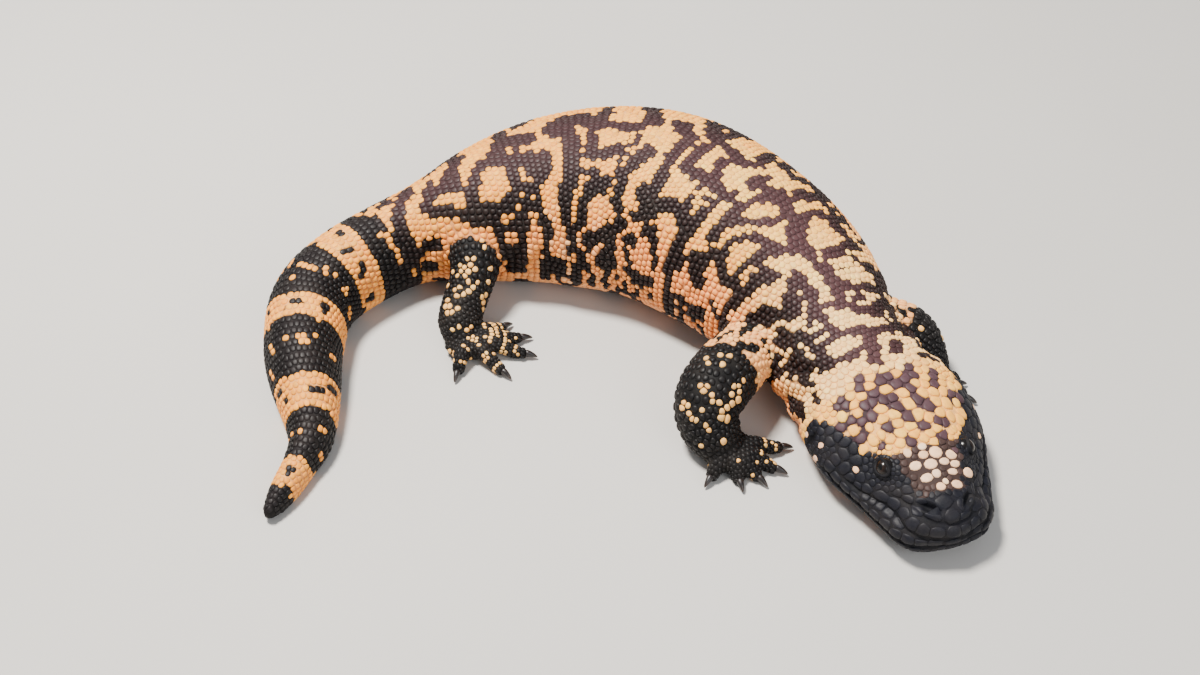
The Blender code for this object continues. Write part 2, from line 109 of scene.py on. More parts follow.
# How far the lids stand over the eyeball.
LID_OVER = 0.55
LIMBS = {
    "arm_right": (
        (55.1, -18.2, 16.0, 11.0), (47.1, -28.7, 18.5, 12.0), (40.1, -38.7, 20.5, 12.8),
        (34.1, -47.7, 20.5, 13.0), (30.6, -53.7, 15.5, 12.3), (32.1, -58.2, 11.0, 11.2),
        (35.6, -61.2, 7.5, 9.8), (39.1, -64.2, 4.5, 7.0),
    ),
    "arm_left": (
        (81.1, -8.2, 14.5, 11.5), (95.1, -11.2, 15.5, 12.0), (107.1, -14.2, 16.0, 11.2),
        (112.1, -17.2, 12.5, 10.3), (114.6, -21.7, 9.5, 9.3), (115.6, -26.2, 7.2, 8.4),
        (116.9, -31.2, 5.0, 6.0),
    ),
    "leg_right": (
        (-58.4, 39.8, 21.0, 12.0), (-56.4, 28.8, 22.0, 11.2), (-55.2, 20.3, 21.0, 10.6),
        (-56.4, 13.3, 16.5, 9.1), (-59.4, 6.3, 11.5, 8.7), (-61.4, -1.2, 7.5, 8.7),
        (-60.4, -8.2, 4.5, 6.0),
    ),
    "leg_left": (
        (-60.9, 47.8, 20.0, 14.0), (-64.9, 63.8, 19.5, 12.0), (-67.9, 71.8, 15.5, 10.0),
        (-67.9, 77.8, 11.0, 9.0), (-65.9, 83.8, 8.0, 8.4), (-63.4, 87.3, 6.0, 7.8),
        (-60.9, 90.8, 4.5, 6.0),
    ),
}
BEND_SPREAD = 6.0
# The direction that counts as 0 degrees round each limb.
LIMB_TOPS = {
    "arm_right": (-0.3, -0.6, 0.75), "arm_left": (0.6, -0.3, 0.75),
    "leg_right": (0.0, -0.6, 0.8), "leg_left": (0.0, 0.6, 0.8),
}
SOLES = {
    "arm_right": (39.1, -63.2, 11.5, 11.5, 9.0), "arm_left": (118.1, -31.2, 9.5, 9.0, 8.5),
    "leg_right": (-57.9, -9.2, 10.5, 9.5, 8.5), "leg_left": (-58.9, 90.8, 10.5, 9.5, 8.5),
}
TOES = {
    "arm_right": ((9.0, 20.0), (-23.0, 18.5), (-48.0, 15.5), (-76.0, 13.5), (-122.0, 13.5)),
    "arm_left": ((-82.0, 11.0), (-62.0, 13.5), (-43.0, 14.0), (-24.0, 12.5), (14.0, 9.5)),
    "leg_right": ((38.5, 17.5), (13.0, 21.5), (-10.0, 23.5), (-43.0, 20.0), (-102.0, 14.5)),
    "leg_left": ((2.0, 17.0), (24.0, 20.5), (44.0, 21.0), (66.0, 17.0), (165.0, 13.0)),
}
TOE_START, TOE_FINE = 5.4, 60
TOE_RADII = (3.53, 3.21, 2.89, 2.73, 2.14)
TOE_HEIGHTS = (5.56, 5.78, 4.17, 2.57, 2.35)
CLAW_LENGTH, CLAW_DROP, CLAW_LIFT = 4.4, 1.2, 0.1
CLAW_RADII = (1.5, 1.2, 0.85, 0.35)

# How deep the skin lies under the solids' surface, by distance from the snout.
COAT = (
    (0.0, 0.45), (24.0, 0.5), (34.0, 0.7), (60.0, 0.7), (80.0, 0.75), (120.0, 0.9), (300.0, 0.8),
    (440.0, 0.45),
)
LIMB_COAT, TOE_COAT = 0.6, 0.35
FLOOR_COAT = 0.4


def through(keys, values, at):
    """Smooth values at places between the keys."""
    keys, values, at = (np.asarray(x, float) for x in (keys, values, at))
    steps, rises = np.diff(keys), np.diff(values)
    slopes = rises / steps
    inner = np.zeros(len(keys))
    same_way = slopes[:-1] * slopes[1:] > 0
    mean = (slopes[:-1] * steps[1:] + slopes[1:] * steps[:-1]) / (steps[:-1] + steps[1:])
    limit = 2.5 * np.minimum(abs(slopes[:-1]), abs(slopes[1:]))
    inner[1:-1] = np.where(same_way, np.sign(mean) * np.minimum(abs(mean), limit), 0.0)
    inner[0], inner[-1] = slopes[0], slopes[-1]
    i = np.clip(np.searchsorted(keys, at, side="right") - 1, 0, len(steps) - 1)
    h = steps[i]
    t = np.clip((at - keys[i]) / h, 0.0, 1.0)
    return (
        values[i] * (1 + 2 * t) * (1 - t) ** 2 + inner[i] * h * t * (1 - t) ** 2
        + values[i + 1] * t * t * (3 - 2 * t) - inner[i + 1] * h * t * t * (1 - t)
    )


def from_table(table, at):
    """Values in a straight line between the rows of a table of places and values."""
    return np.interp(at, *zip(*table))


def lengths(path):
    """Distance along a path at each of its points."""
    return np.concatenate([[0.0], np.cumsum(np.linalg.norm(np.diff(path, axis=0), axis=1))])


def bent_path(points, fine=400):
    """Points close together along a smooth bend through the given ones."""
    points = np.asarray(points, float)
    ends = np.vstack([2 * points[0] - points[1], points, 2 * points[-1] - points[-2]])
    share = np.linspace(0, len(points) - 1, fine)
    i = np.minimum(share.astype(int), len(points) - 2)
    t = (share - i)[:, None]
    a, b, c, d = ends[i], ends[i + 1], ends[i + 2], ends[i + 3]
    return 0.5 * (
        2 * b + (c - a) * t + (2 * a - 5 * b + 4 * c - d) * t**2 + (3 * b - a - 3 * c + d) * t**3
    )


def softened(path, reach):
    """The same path with its bends eased."""
    run = lengths(path)
    near = np.minimum(reach, np.minimum(run, run[-1] - run))[:, None]
    around = run[:, None] + near * np.linspace(-1, 1, 21)
    return np.stack([np.interp(around, run, path[:, k]).mean(axis=1) for k in range(3)], -1)


def unit(v):
    return v / np.maximum(np.linalg.norm(v, axis=-1, keepdims=True), 1e-9)


SPINE_PATH = bent_path(SPINE)
SPINE_RUN = lengths(SPINE_PATH) * LENGTH / lengths(SPINE_PATH)[-1]


def spine_frame(s):
    """Plan points of the axis, and the directions towards the snout there."""
    s = np.asarray(s, float)

    def point(at):
        return np.stack([np.interp(at, SPINE_RUN, SPINE_PATH[:, k]) for k in (0, 1)], -1)

    ahead = point(np.clip(s - 1, 0, LENGTH)) - point(np.clip(s + 1, 0, LENGTH))
    return point(s), unit(ahead)


def body_size(s):
    """Half width, height of the back and of the underside."""
    return [through(BODY[:, 0], BODY[:, k], s) for k in (1, 2, 3)]


def degree_length(s):
    """How many millimetres one degree round the body is, on average."""
    half, back, belly = body_size(s)
    return np.radians(1) * (half + (back - belly) / 2) / 2


def relief(s, angle):
    """How far the head stands out of its plain section."""
    away = abs((angle + 180.0) % 360.0 - 180.0)
    total = np.zeros(np.broadcast(s, angle).shape)
    for place, around, along_spread, around_spread, height in RELIEF:
        along, across = (s - place) / along_spread, (away - around) / around_spread
        total = total + height * np.exp(-along * along - across * across)
    return np.where(s < RELIEF_END, total, 0.0)


def body_point(s, angle, depth=0.0):
    """Points of the body's surface, or this deep under it."""
    s, angle = np.broadcast_arrays(np.asarray(s, float), np.asarray(angle, float))
    half, back, belly = body_size(s)
    half, back, belly = half - depth, back - depth, belly + depth
    plan, ahead = spine_frame(s)
    right = np.stack([ahead[..., 1], -ahead[..., 0]], -1)
    middle = belly + WIDEST_AT * (back - belly)
    taper = from_table(CROWN_TAPER, s)
    across, up = np.sin(np.radians(angle)), np.cos(np.radians(angle))
    power = np.where(up > 0, BACK_POWER, BELLY_POWER)
    side = np.sign(across) * abs(across) ** (2 / power) * half
    rise = np.sign(up) * abs(up) ** (2 / power)
    side = side * (1 - taper * np.maximum(rise, 0.0))
    rise = rise * np.where(up > 0, back - middle, middle - belly)
    grow = 1 + relief(s, angle) / np.maximum(np.hypot(side, rise), 1e-6)
    place = plan + right * (side * grow)[..., None]
    return np.concatenate([place, (middle + rise * grow)[..., None]], -1)


def body_place(points):
    """Distance, angle and fullness of points: 1 on the body's surface, more outside it."""
    s = np.empty(len(points))
    steps = np.arange(0.0, LENGTH + 1, 2.0)
    plan, ahead = spine_frame(steps)
    for start in range(0, len(points), 4000):
        part = points[start:start + 4000, :2]
        near = ((part[:, None] - plan[None]) ** 2).sum(-1).argmin(1)
        s[start:start + 4000] = steps[near]
    for _ in range(2):
        plan, ahead = spine_frame(s)
        s = np.clip(s - ((points[:, :2] - plan) * ahead).sum(-1), 0.0, LENGTH)
    plan, ahead = spine_frame(s)
    side = (points[:, 0] - plan[:, 0]) * ahead[:, 1] - (points[:, 1] - plan[:, 1]) * ahead[:, 0]
    half, back, belly = body_size(s)
    middle = belly + WIDEST_AT * (back - belly)
    rise = points[:, 2] - middle
    rise = rise / np.where(rise > 0, back - middle, middle - belly)
    taper = from_table(CROWN_TAPER, s)
    side = side / half / (1 - taper * np.clip(rise, 0.0, 1.0))
    power = np.where(rise > 0, BACK_POWER, BELLY_POWER)
    across = np.sign(side) * abs(side) ** (power / 2)
    up = np.sign(rise) * abs(rise) ** (power / 2)
    return s, np.degrees(np.arctan2(across, up)), np.hypot(across, up) ** (2 / power)


def limb_line(limb):
    """A limb's eased path, the distances along it, and its radius at each point."""
    joints = np.array(LIMBS[limb])
    path = softened(bent_path(joints[:, :3], 300), BEND_SPREAD)
    run = lengths(path)
    at = np.interp(np.linspace(0, 1, len(joints)), np.linspace(0, 1, len(path)), run)
    return path, run, through(at, joints[:, 3], run)


LINES = {limb: limb_line(limb) for limb in LIMBS}


def limb_frame(limb, along):
    """Point, directions of the limb, its top and its side, and radius, at distances along it."""
    path, run, radii = LINES[limb]

    def point(at):
        return np.stack([np.interp(at, run, path[:, k]) for k in range(3)], -1)

    ahead = unit(point(along + 1) - point(along - 1))
    top = np.array(LIMB_TOPS[limb])
    top = unit(top - ahead * (ahead @ top)[..., None])
    return point(along), ahead, top, np.cross(ahead, top), np.interp(along, run, radii)


def limb_place(limb, points):
    """Distance along a limb, angle round it, and height over its surface, of each point."""
    path, run, _ = LINES[limb]
    coarse = slice(0, None, 3)
    near = ((points[:, None] - path[None, coarse]) ** 2).sum(-1).argmin(1)
    along = run[coarse][near]
    middle, _, top, side, radius = limb_frame(limb, along)
    out = points - middle
    angle = np.degrees(np.arctan2((out * side).sum(-1), (out * top).sum(-1)))
    return along, angle, np.linalg.norm(out, axis=-1) - radius


def toe_line(limb, toe):
    """A toe's middle line from the sole to its claw."""
    x, y = SOLES[limb][:2]
    direction, reach = TOES[limb][toe]
    way = np.array([math.cos(math.radians(direction)), math.sin(math.radians(direction))])
    steps = np.linspace(TOE_START, reach, len(TOE_HEIGHTS))
    points = [(x + way[0] * d, y + way[1] * d, z) for d, z in zip(steps, TOE_HEIGHTS)]
    return bent_path(points, TOE_FINE)


def tone(red, green, blue):
    """A colour as seen on a screen, 0 to 255, as the shader takes it."""
    share = np.array([red, green, blue], float) / 255.0
    return np.where(share < 0.04045, share / 12.92, ((share + 0.055) / 1.055) ** 2.4)


# ---------------------------------------------------------------- markings

# Dark strokes on the light trunk: width, then distance and angle of each point they run through.
DARK = (
    (2.5, 59, -8, 60, -25, 63, -38, 66, -50), (4, 71, -31, 68, -18), (5, 66, -1, 72, -4, 77, -8),
    (4.5, 78, -45, 77, -30, 78, -15, 79, -5), (3, 79, -5, 81, 5, 82, 12, 86, 17, 92, 20),
    (2.8, 74, -10, 72.5, 0, 72, 12, 72, 22, 73, 32), (4, 73, 34, 78, 33, 84, 34), (2.6, 73, 34, 74, 42),
    (3, 85, 33, 88, 42, 87, 52), (1.2, 77, 38, 77, 47), (6, 80, 53, 86, 52, 92, 55),
    (7, 82, 62, 86, 75, 89, 85, 90, 98), (3, 58, 59, 62, 58, 70, 57, 80, 57), (5, 60, 78, 68, 80, 76, 92),
    (6, 88, -33, 87, -25, 89, -15), (3, 80, -39, 85, -33, 88, -32), (3, 97, -50, 98, -25),
    (6.5, 94, -18, 97, -14, 97, -5), (5, 92, -3, 98, -5, 104, -4, 112, -3, 116, 2, 120, 5, 122, 0),
    (6, 122, 0, 127, -7, 134, -8, 141, -8), (1.8, 93.5, 0, 93.5, 12), (3, 82, 16, 88, 16, 96, 17),
    (3, 81, 31, 86, 33, 91, 26), (2.4, 85, 20, 85, 32), (2, 80.5, 18, 80.5, 30),
    (5, 92, 18, 97, 17, 101, 15), (7, 107, 18, 103, 23, 101.5, 28), (4, 100, 25, 96, 31, 96.5, 38, 99, 45),
    (8, 103.5, 52, 105, 61, 106.5, 71), (2, 99.5, 46, 100, 58), (2.2, 98, 81, 98.5, 83),
    (6, 114, 30, 116, 38, 116, 48), (3.5, 116, 48, 117, 60, 118, 75), (4.5, 117, 80, 118, 95, 117, 112),
    (3, 120, 15, 122, 22, 124, 30, 124, 42, 121, 50), (2.6, 114, 29, 121, 30),
    (4, 117, 3, 119, 10, 121, 17, 128, 19, 133, 23), (3, 133, 23, 135, 32, 134, 42, 132, 47),
    (4, 121, 52, 127, 53, 132, 47, 136, 45, 140, 48), (2.6, 131, -3, 132, 8, 134, 14, 138, 18, 141, 24),
    (3.5, 140, -12, 141, -2, 143, 8), (6, 144, 15, 144, 25, 143, 38),
    (7, 137, 67, 141, 62, 144, 56, 140, 51), (2, 146, 52, 146.5, 53), (3.5, 148, 13, 153, 13, 160, 11),
    (2, 150.5, 8, 151, 12), (5, 154, 14, 154, 30, 154, 40), (5, 153, 40, 154, 50, 154, 62),
    (4.5, 154, 62, 154, 75, 152, 90, 152, 108), (4, 151, 59, 151, 67), (2.4, 158, 42, 161, 38),
    (4, 142, -48, 145, -32), (3, 148, -14, 148, -9), (5, 145.5, -6, 148, -4),
    (4.5, 157, -48, 156, -30, 154.5, -18, 157, -12, 161, -8), (3, 163, -3, 161, 6, 159, 11),
    (4, 160, -13, 168, -15, 175, -17), (4.5, 158, 12, 165, 13, 172, 12), (2.6, 161, 17, 160.5, 30),
    (4.5, 159, 36, 165, 36, 172, 39), (3, 166, 60, 163, 68, 161, 76), (5, 163, 86, 168, 88, 173, 88),
    (3, 162, 96, 163, 99), (6, 130, 86, 134, 90, 137, 92), (3.5, 143, 88, 147, 85), (2.4, 146, 92, 146, 93),
    (2.8, 122, 79, 126, 74), (4, 131, 100, 128, 114), (4, 145, 97, 147, 114),
    (3, 105, -50, 106, -38, 108, -30), (4, 112, -42, 114, -33, 112, -22, 111, -8),
    (1.5, 105, -20, 105, -14), (2, 107, -9, 107.5, -8),
    (4, 120, -30, 125, -32, 128, -24, 129, -15, 130, -8), (5, 115, -37, 120, -33, 126, -37, 125, -46),
    (4.5, 133, -50, 136, -32, 136, -20, 135, -9), (3, 130, -50, 131, -36),
    (4.5, 180, -40, 177, -25, 174, -16, 168, -15), (2, 170, -40, 171.5, -20),
    (3, 171, -12, 172.5, -3, 172, 9), (4.5, 186, -18, 184, -10, 180, -8, 178, -3),
    (5, 179, -3, 180, 8, 179, 18, 178, 30, 179, 36), (6.5, 177, 35, 181, 37, 185, 37),
    (6, 174, 40, 177, 44, 179, 50, 172, 45), (1.6, 181, 50, 188, 50),
    (6, 191, 12, 194, 18, 197, 24, 200, 31), (3, 198, 2, 200, 10, 202, 15),
    (4.5, 198, -36, 197, -22, 194.5, -13), (3.5, 196, -11, 200, -5, 205, -5, 210, -8),
    (3.5, 210, -8, 217, -9, 220, -13), (3, 216, -5, 216.5, 5, 216, 14),
    (4, 203, 12, 208, 15, 213, 16, 217, 14), (3, 202, 18, 201, 28, 202, 38),
    (6, 206, 36, 211, 36, 216, 38, 219, 46), (3, 213, 27, 217, 28, 221, 27),
    (9, 221, -17, 227, -18, 230, -10), (5.5, 226, -12, 225, -2, 224.5, 8, 223.5, 20),
    (3.4, 213, -36, 212, -22, 214, -12), (6.5, 223.5, 20, 224.5, 32, 227, 40, 227, 50, 226, 58),
    (5, 224, 60, 223, 72, 223, 80, 222, 92), (5, 199, 36, 200, 45, 199, 52, 197, 58),
    (5, 188, 59, 193, 57, 198, 58, 203, 61), (4, 193, 50, 198, 50), (6, 196, 62, 197, 72, 196, 82),
    (4.5, 200, 65, 202, 72, 202, 80), (5, 194, 84, 200, 85, 207, 85), (4.5, 199, 90, 202, 97, 203, 112),
    (4, 218, 52, 219, 61), (5, 206, 68, 211, 70, 216, 69, 216, 77), (3, 215, 90, 219, 84, 221, 80),
    (6, 224, 95, 230, 96, 236, 94, 241, 92), (3, 229, 89, 236, 87, 242, 88), (4, 242, 97, 241, 112),
    (4.5, 221, 98, 222, 112), (6, 237, 12, 236, 20, 239, 27), (6.5, 243, 10, 242, 22, 243, 33),
    (6, 244, 33, 243, 42, 243, 54), (5, 248, 2, 247, 12, 247, 30, 246, 45),
    (3.5, 241, 55, 241, 70, 241, 83), (6, 241, -8, 246, -10, 250, -16, 252, -8, 254, -3),
    (4.5, 250, -36, 250, -20), (4, 247, -3, 251, 6), (5, 250, 4, 256, 2, 262, 4, 266, 10),
    (4, 266, 10, 265, 20, 267, 28, 266, 38), (4, 249, 8, 250, 20, 251, 33, 254, 42),
    (4.5, 254, 42, 259, 45, 264, 42, 267, 38), (6, 269, -20, 272, -5, 274, 5, 276, 9),
    (4.5, 276, 10, 271, 14, 268, 19), (4, 268, -38, 270, -22), (3.5, 281, -9, 282, -2, 284, 0),
    (4, 283, 12, 286, 22, 284, 31, 278, 36), (4.5, 278, 36, 272, 42, 269, 48, 266, 53),
    (5, 290, -24, 291, -5), (4, 250, 50, 254, 57, 256, 61), (4, 250, 58, 252, 70, 253, 82, 254, 96),
    (4, 237, 62, 239, 68), (3, 262, 52, 260, 65, 259, 80, 257, 96), (5, 168, 55, 172, 58),
    (4.5, 178, 66, 181, 65, 184, 67), (2.6, 182, 71, 178, 78, 175, 82), (5, 169, 88, 173, 88, 177, 84),
    (5, 179, 95, 181, 102, 180, 114), (3.5, 171, 98, 174, 112), (4, 190, 93, 189, 108),
    (4, 233, 100, 234, 112), (3.5, 212, 96, 213, 112), (5, 284, 66, 292, 68, 297, 62),
    (4, 288, 92, 296, 88),
)
# How much wider than drawn they show on each side, by distance from the snout.
DARK_WIDER = ((60, 100, 150, 185, 215, 245, 270), (-0.05, -0.1, 0.17, 0.6, 0.6, 0.35, 0.25))
# Light beads and streaks over the dark strokes.
LIGHT = (
    (2.6, 96, -14, 96, -12), (2.4, 91, -21, 91, -17), (2.4, 111, -5, 111, -3), (2.6, 82.5, 23, 82.5, 30),
    (2.6, 87.5, 21, 87.5, 30), (2.2, 102, 20.5, 102, 21.5), (2.4, 85.5, 55, 85.5, 65),
    (2, 82.5, 71, 83, 73), (2, 86, 74, 86, 76), (2.6, 61, 54, 61, 54.5), (2.6, 65, 55, 65.5, 55),
    (2.6, 69, 55.5, 69.5, 56), (2.2, 58, 72, 58, 74), (2.4, 121.5, 35, 121.5, 37), (2, 121, 39, 120.5, 49),
    (3, 126.5, -20, 126.5, -18), (3, 132, -24, 132, -13), (2.4, 134.5, 48.5, 134.5, 49.5),
    (2.4, 133, 18, 133, 19), (3.4, 136.3, 3, 136.3, 12), (2, 144.5, 28, 144.5, 29), (2.4, 154, 18, 154, 19),
    (2.4, 154, 24.5, 154, 25.5), (2.2, 160, 15, 160, 26), (2.2, 154.5, 48, 154.5, 49),
    (2.4, 179.7, 12, 179.7, 13), (2.6, 198, 15, 198, 16), (2.4, 199.5, 20.5, 199.5, 21.5),
    (2.6, 200, 4.5, 200, 5.5), (2.4, 200.5, 11.5, 200.5, 12.5), (2.6, 203, 32, 203.5, 40),
    (2.4, 215.5, 31.5, 215.5, 32.5), (2.4, 218, 31, 219, 39), (2.4, 219, 40, 222, 45),
    (2.6, 223, 47, 223.5, 53, 224, 61), (3.2, 201, 54, 201, 56), (2.6, 199, 67.5, 199, 68.5),
    (2.6, 199, 75.5, 199, 76.5), (2.8, 218.5, 69, 218.5, 78), (3.6, 222, 83.5, 222, 84.5),
    (3.6, 226, 92.5, 226, 93.5), (2.6, 243, 27.5, 243, 28.5), (2.8, 246, 20, 246, 27),
    (2.4, 244, 40.5, 244, 41.5), (2, 249, 38.5, 249, 39.5), (3, 248.5, -3.5, 248.5, -2.5),
    (2.8, 267.5, 3, 268, 13), (3, 244, 55, 245, 62), (2.6, 233, 52, 233, 60),
)
# Dark bands of the tail, from and to, and what stands out in them and between them.
TAIL_BANDS = ((295.5, 315.0), (329.5, 351.0), (364.5, 386.5), (401.0, 417.5), (431.0, 441.0))
TAIL_LIGHT = (
    (5, 299, -5, 303, 3, 302, 11), (3.4, 303, 12, 303, 25),
    (3, 307, 25, 306, 38, 307, 45, 304, 58, 305, 72), (5, 302, -28, 306, -14), (3, 339.5, -19, 339.5, -12),
    (2.4, 345, -19, 345, -17), (3.6, 339, 2, 339, 4), (3.6, 338.5, 19, 338.5, 21), (2, 341, 28, 341, 30),
    (3, 337.5, 35, 337.5, 37), (2.8, 337, 60, 340, 60), (3, 342, 87, 346, 88), (2.6, 371, -22, 374, -18),
    (3.4, 374, 5, 374, 12), (3.2, 373.5, 24, 373.5, 26), (2.6, 376.5, 17, 376.5, 19),
    (2.2, 377, 62, 380, 58), (2.6, 373, -50, 376, -46), (2.4, 337, -44, 339, -38), (3, 299, 92, 300, 100),
    (2.4, 408, -10, 408, -6), (2.2, 406, 40, 407, 46), (2.4, 411, 70, 412, 78),
)
TAIL_DARK = (
    (5, 289, -18, 293, -6, 296, 5, 297, 18), (3, 321, -9, 321, -7), (2.6, 321.5, 24, 325, 22),
    (3.4, 322, 48, 324, 60), (3.4, 357, -2, 357, 0), (3.6, 355.5, 37, 357.5, 39), (2.4, 355, -59, 355, -55),
    (1.6, 359, -23, 359, -20), (2.6, 394, 8, 394, 30), (2.2, 391, 54, 391, 66), (2.2, 394, -52, 394, -46),
    (3.2, 423, 0, 424, 8), (2.4, 322, 92, 325, 95), (4, 284, 66, 291, 72, 296, 80),
)
# The crown's dark blotches, and the pale scales of the snout.
CROWN_DARK = (
    (2.6, 37, -29, 36.5, -24), (2.6, 36.5, -9, 36.5, -4), (3, 32, 11, 32, 14), (3.6, 46, -55, 46, -42),
    (4, 43, -22, 45, -14, 48, -8, 53, -10, 56, -16), (3.6, 51, -33, 55, -39), (4, 55, 2, 58, 4, 56, 10),
    (4.4, 42, 5, 46, 8, 49, 12), (3, 37, 21, 40, 23), (3, 46, 28, 45, 38), (3.4, 50, 27, 53, 22),
    (4.4, 58, 22, 62, 23, 66, 20), (2.4, 62, 38, 66, 35, 65, 29), (2.2, 56, 38, 57, 46),
    (2, 53, 42, 55, 49), (3, 60, -20, 61, -10, 63, -8), (2.2, 40.5, 43, 40.8, 53),
    (2.0, 47.2, 42, 47.4, 54), (1.8, 46, 33, 46, 40), (2.4, 34, 38, 34, 42), (1.4, 30.5, -26, 31, -14),
)
SNOUT_PALE = (
    (14, -22, 3.4, 1.5), (18.3, -22, 3.2, 1.1), (20.8, -28, 3.0, 1.2), (24, -27, 3.2, 1.7),
    (18, -43, 3.4, 1.7), (25.5, -8, 3.6, 2.1), (15.3, -6, 1.6, 1.1), (14, 3, 2.6, 1.4), (18.5, 2, 2.4, 1.5),
    (22, 4, 3.6, 1.7), (25.7, 8, 2.8, 1.4), (28.5, 5, 2.4, 1.2), (18, 16, 3.6, 1.4), (23, 23, 3.2, 1.5),
    (22, -15, 3.0, 1.2), (28, 24, 2.2, 1.6),
)
CHEEK_PALE = ((32.5, 70, 1.5, 1.3), (34.5, -76, 1.4, 1.2))
# Big light scales along the edge of the crown.
CROWN_BIG = (
    (43.8, 47, 2.7, 2.5), (50.4, 48, 2.8, 2.4), (37.2, 41, 2.8, 2.6), (37.5, 33, 2.2, 2.0),
    (33, -38, 2.7, 2.4), (38.5, -38, 2.6, 2.4), (44, -48, 2.4, 2.2), (51, -50, 2.4, 2.2),
    (42, 36, 2.1, 2.0), (48.5, 37, 2.3, 2.2),
)
PLACED = SNOUT_PALE + CHEEK_PALE + CROWN_BIG
# The head's rough radius, and the millimetres that a degree round it is.
HEAD_RADIUS, HEAD_DEGREE = 27.0, 0.47
# Where the black of the cheek begins, by distance from the snout.
CHEEK_EDGE = ((0, 0), (12, 8), (13, 30), (20, 37), (30, 40), (33, 46), (37, 53), (46, 56), (50, 59), (54, 66))
# Light beads of the limbs: distance along the limb, angle round it, radius.
LIMB_LIGHT = {
    "arm_right": (
        (31, -3, 1.3), (34, -3, 1.3), (32, 10, 1.2), (35, 18, 1.1), (34, 28, 1.1), (33.5, -48, 1.2),
        (35.5, -47, 1.0), (36.5, -55, 1.1), (36.5, -40, 1.1), (38.5, -45, 1.1), (38.5, -64, 1.8),
        (41, -56, 1.4), (43, -49, 1.3), (45, -40, 1.3), (42, -32, 1.3), (41, -16, 1.1), (42.3, -20, 1.1),
        (39.7, -2, 1.1), (40, 8, 1.1), (45, -5, 1.0), (49.3, -5, 1.2), (51, -5, 1.1), (47.5, 8, 1.1),
        (46, 20, 1.2), (47, 16, 1.1), (44.3, 22, 1.1), (44, 32, 1.1), (48, -38, 1.8), (50, -48, 1.8),
        (57, -14, 1.4), (52.5, -40, 1.3), (54, 30, 1.1), (38, 120, 1.2), (43, 128, 1.2), (46, 140, 1.1),
        (36, 160, 1.2), (41, -170, 1.3), (37, -125, 1.2),
    ),
    "leg_right": (
        (17.6, -18, 1.1), (19.5, -25, 1.2), (16, -38, 1.2), (24.5, -47, 1.3), (28.5, -56, 1.3),
        (26, -8, 1.2), (22.8, 1, 1.1), (25, 5, 1.2), (23, 14, 1.1), (27.2, 8, 1.4), (27, 18, 1.1),
        (29, 14, 1.2), (26, 20, 1.1), (27.5, 28, 1.1), (29.5, 37, 1.2), (25, 33, 1.1), (30, -24, 1.2),
        (32.3, -18, 1.3), (34.8, -10, 1.4), (30.8, 0, 1.3), (36.5, 1, 1.4), (34.3, 19, 1.3),
        (37.8, 17, 1.4), (35.5, 31, 1.2), (43.3, 4, 1.2), (45, 18, 1.2), (45, 33, 1.3), (42.5, 31, 1.3),
        (42.5, 45, 1.4), (40, 44, 1.3), (34.5, -52, 1.4), (33, -64, 1.3), (36, -66, 1.3), (50.5, -47, 1.2),
        (52, -35, 1.2), (50.5, -5, 1.1), (51, 20, 1.1), (39, -78, 1.3), (28, 60, 1.3), (34, 75, 1.3),
        (38, 110, 1.3), (30, 130, 1.3), (26, -150, 1.3), (41, 170, 1.3),
    ),
    "arm_left": (
        (30, 20, 1.3), (34, 50, 1.2), (37, 95, 1.2), (42, 120, 1.2), (31, 120, 1.3), (40, 60, 1.2),
        (36, -30, 1.2), (44, 20, 1.2), (33, 160, 1.2), (46, 80, 1.1), (28, 80, 1.3), (38, 150, 1.2),
    ),
    "leg_left": (
        (18, -20, 1.3), (22, 10, 1.3), (24, -40, 1.3), (26, 30, 1.3), (29, -10, 1.3), (32, 20, 1.3),
        (33, -30, 1.3), (36, 0, 1.3), (38, 40, 1.3), (40, -20, 1.2), (28, 60, 1.3), (34, 70, 1.2),
        (25, -75, 1.3), (31, -60, 1.3), (22, 60, 1.3), (43, 15, 1.2), (37, -70, 1.2),
    ),
}
# Dark strokes on the light root of each limb, by distance along it and angle round it.
HIP_DARK = ((3, 2, 90, 11, 100), (3, 4, -80, 12, -90), (3, 2, 160, 10, 170))
ROOT_DARK = {
    "arm_right": (
        (3.4, 0, 26, 12, 20, 20, 14), (3, 0, -52, 16, -50), (2.6, 8, 60, 16, 66, 25, 74),
        (2.4, 21, -24, 24, -12, 25, 4), (3, 4, -92, 14, -98, 22, -110), (2.4, 18, 34, 26, 40),
        (3, 6, 130, 18, 140), (2.2, 10, -22, 16, -26), (3, 8, 180, 20, 176),
    ),
    "arm_left": (
        (3, 2, 20, 12, 10, 18, 14), (3, 4, -40, 14, -46), (2.8, 8, 70, 18, 80), (2.8, 20, -15, 24, 5),
        (3, 10, 120, 20, 126), (2.4, 18, 40, 25, 46), (3, 8, -100, 18, -110),
    ),
    "leg_right": ((3, 2, 30, 10, 40), (2.6, 4, -30, 11, -26), *HIP_DARK),
    "leg_left": ((3, 2, 20, 10, 30), (2.6, 4, -30, 11, -36), *HIP_DARK),
}
# How much of the feet and of the rings of the toes is light.
FOOT_LIGHT = {"arm_right": 0.02, "arm_left": 0.03, "leg_right": 0.09, "leg_left": 0.08}
TOE_LIGHT = {"arm_right": 0.30, "arm_left": 0.4, "leg_right": 0.9, "leg_left": 0.85}
# Where each limb's black begins, past the light upper arm or thigh, along it.
LIMB_BLACK_FROM = {"arm_right": 27.5, "arm_left": 27.0, "leg_right": 14.5, "leg_left": 15.0}

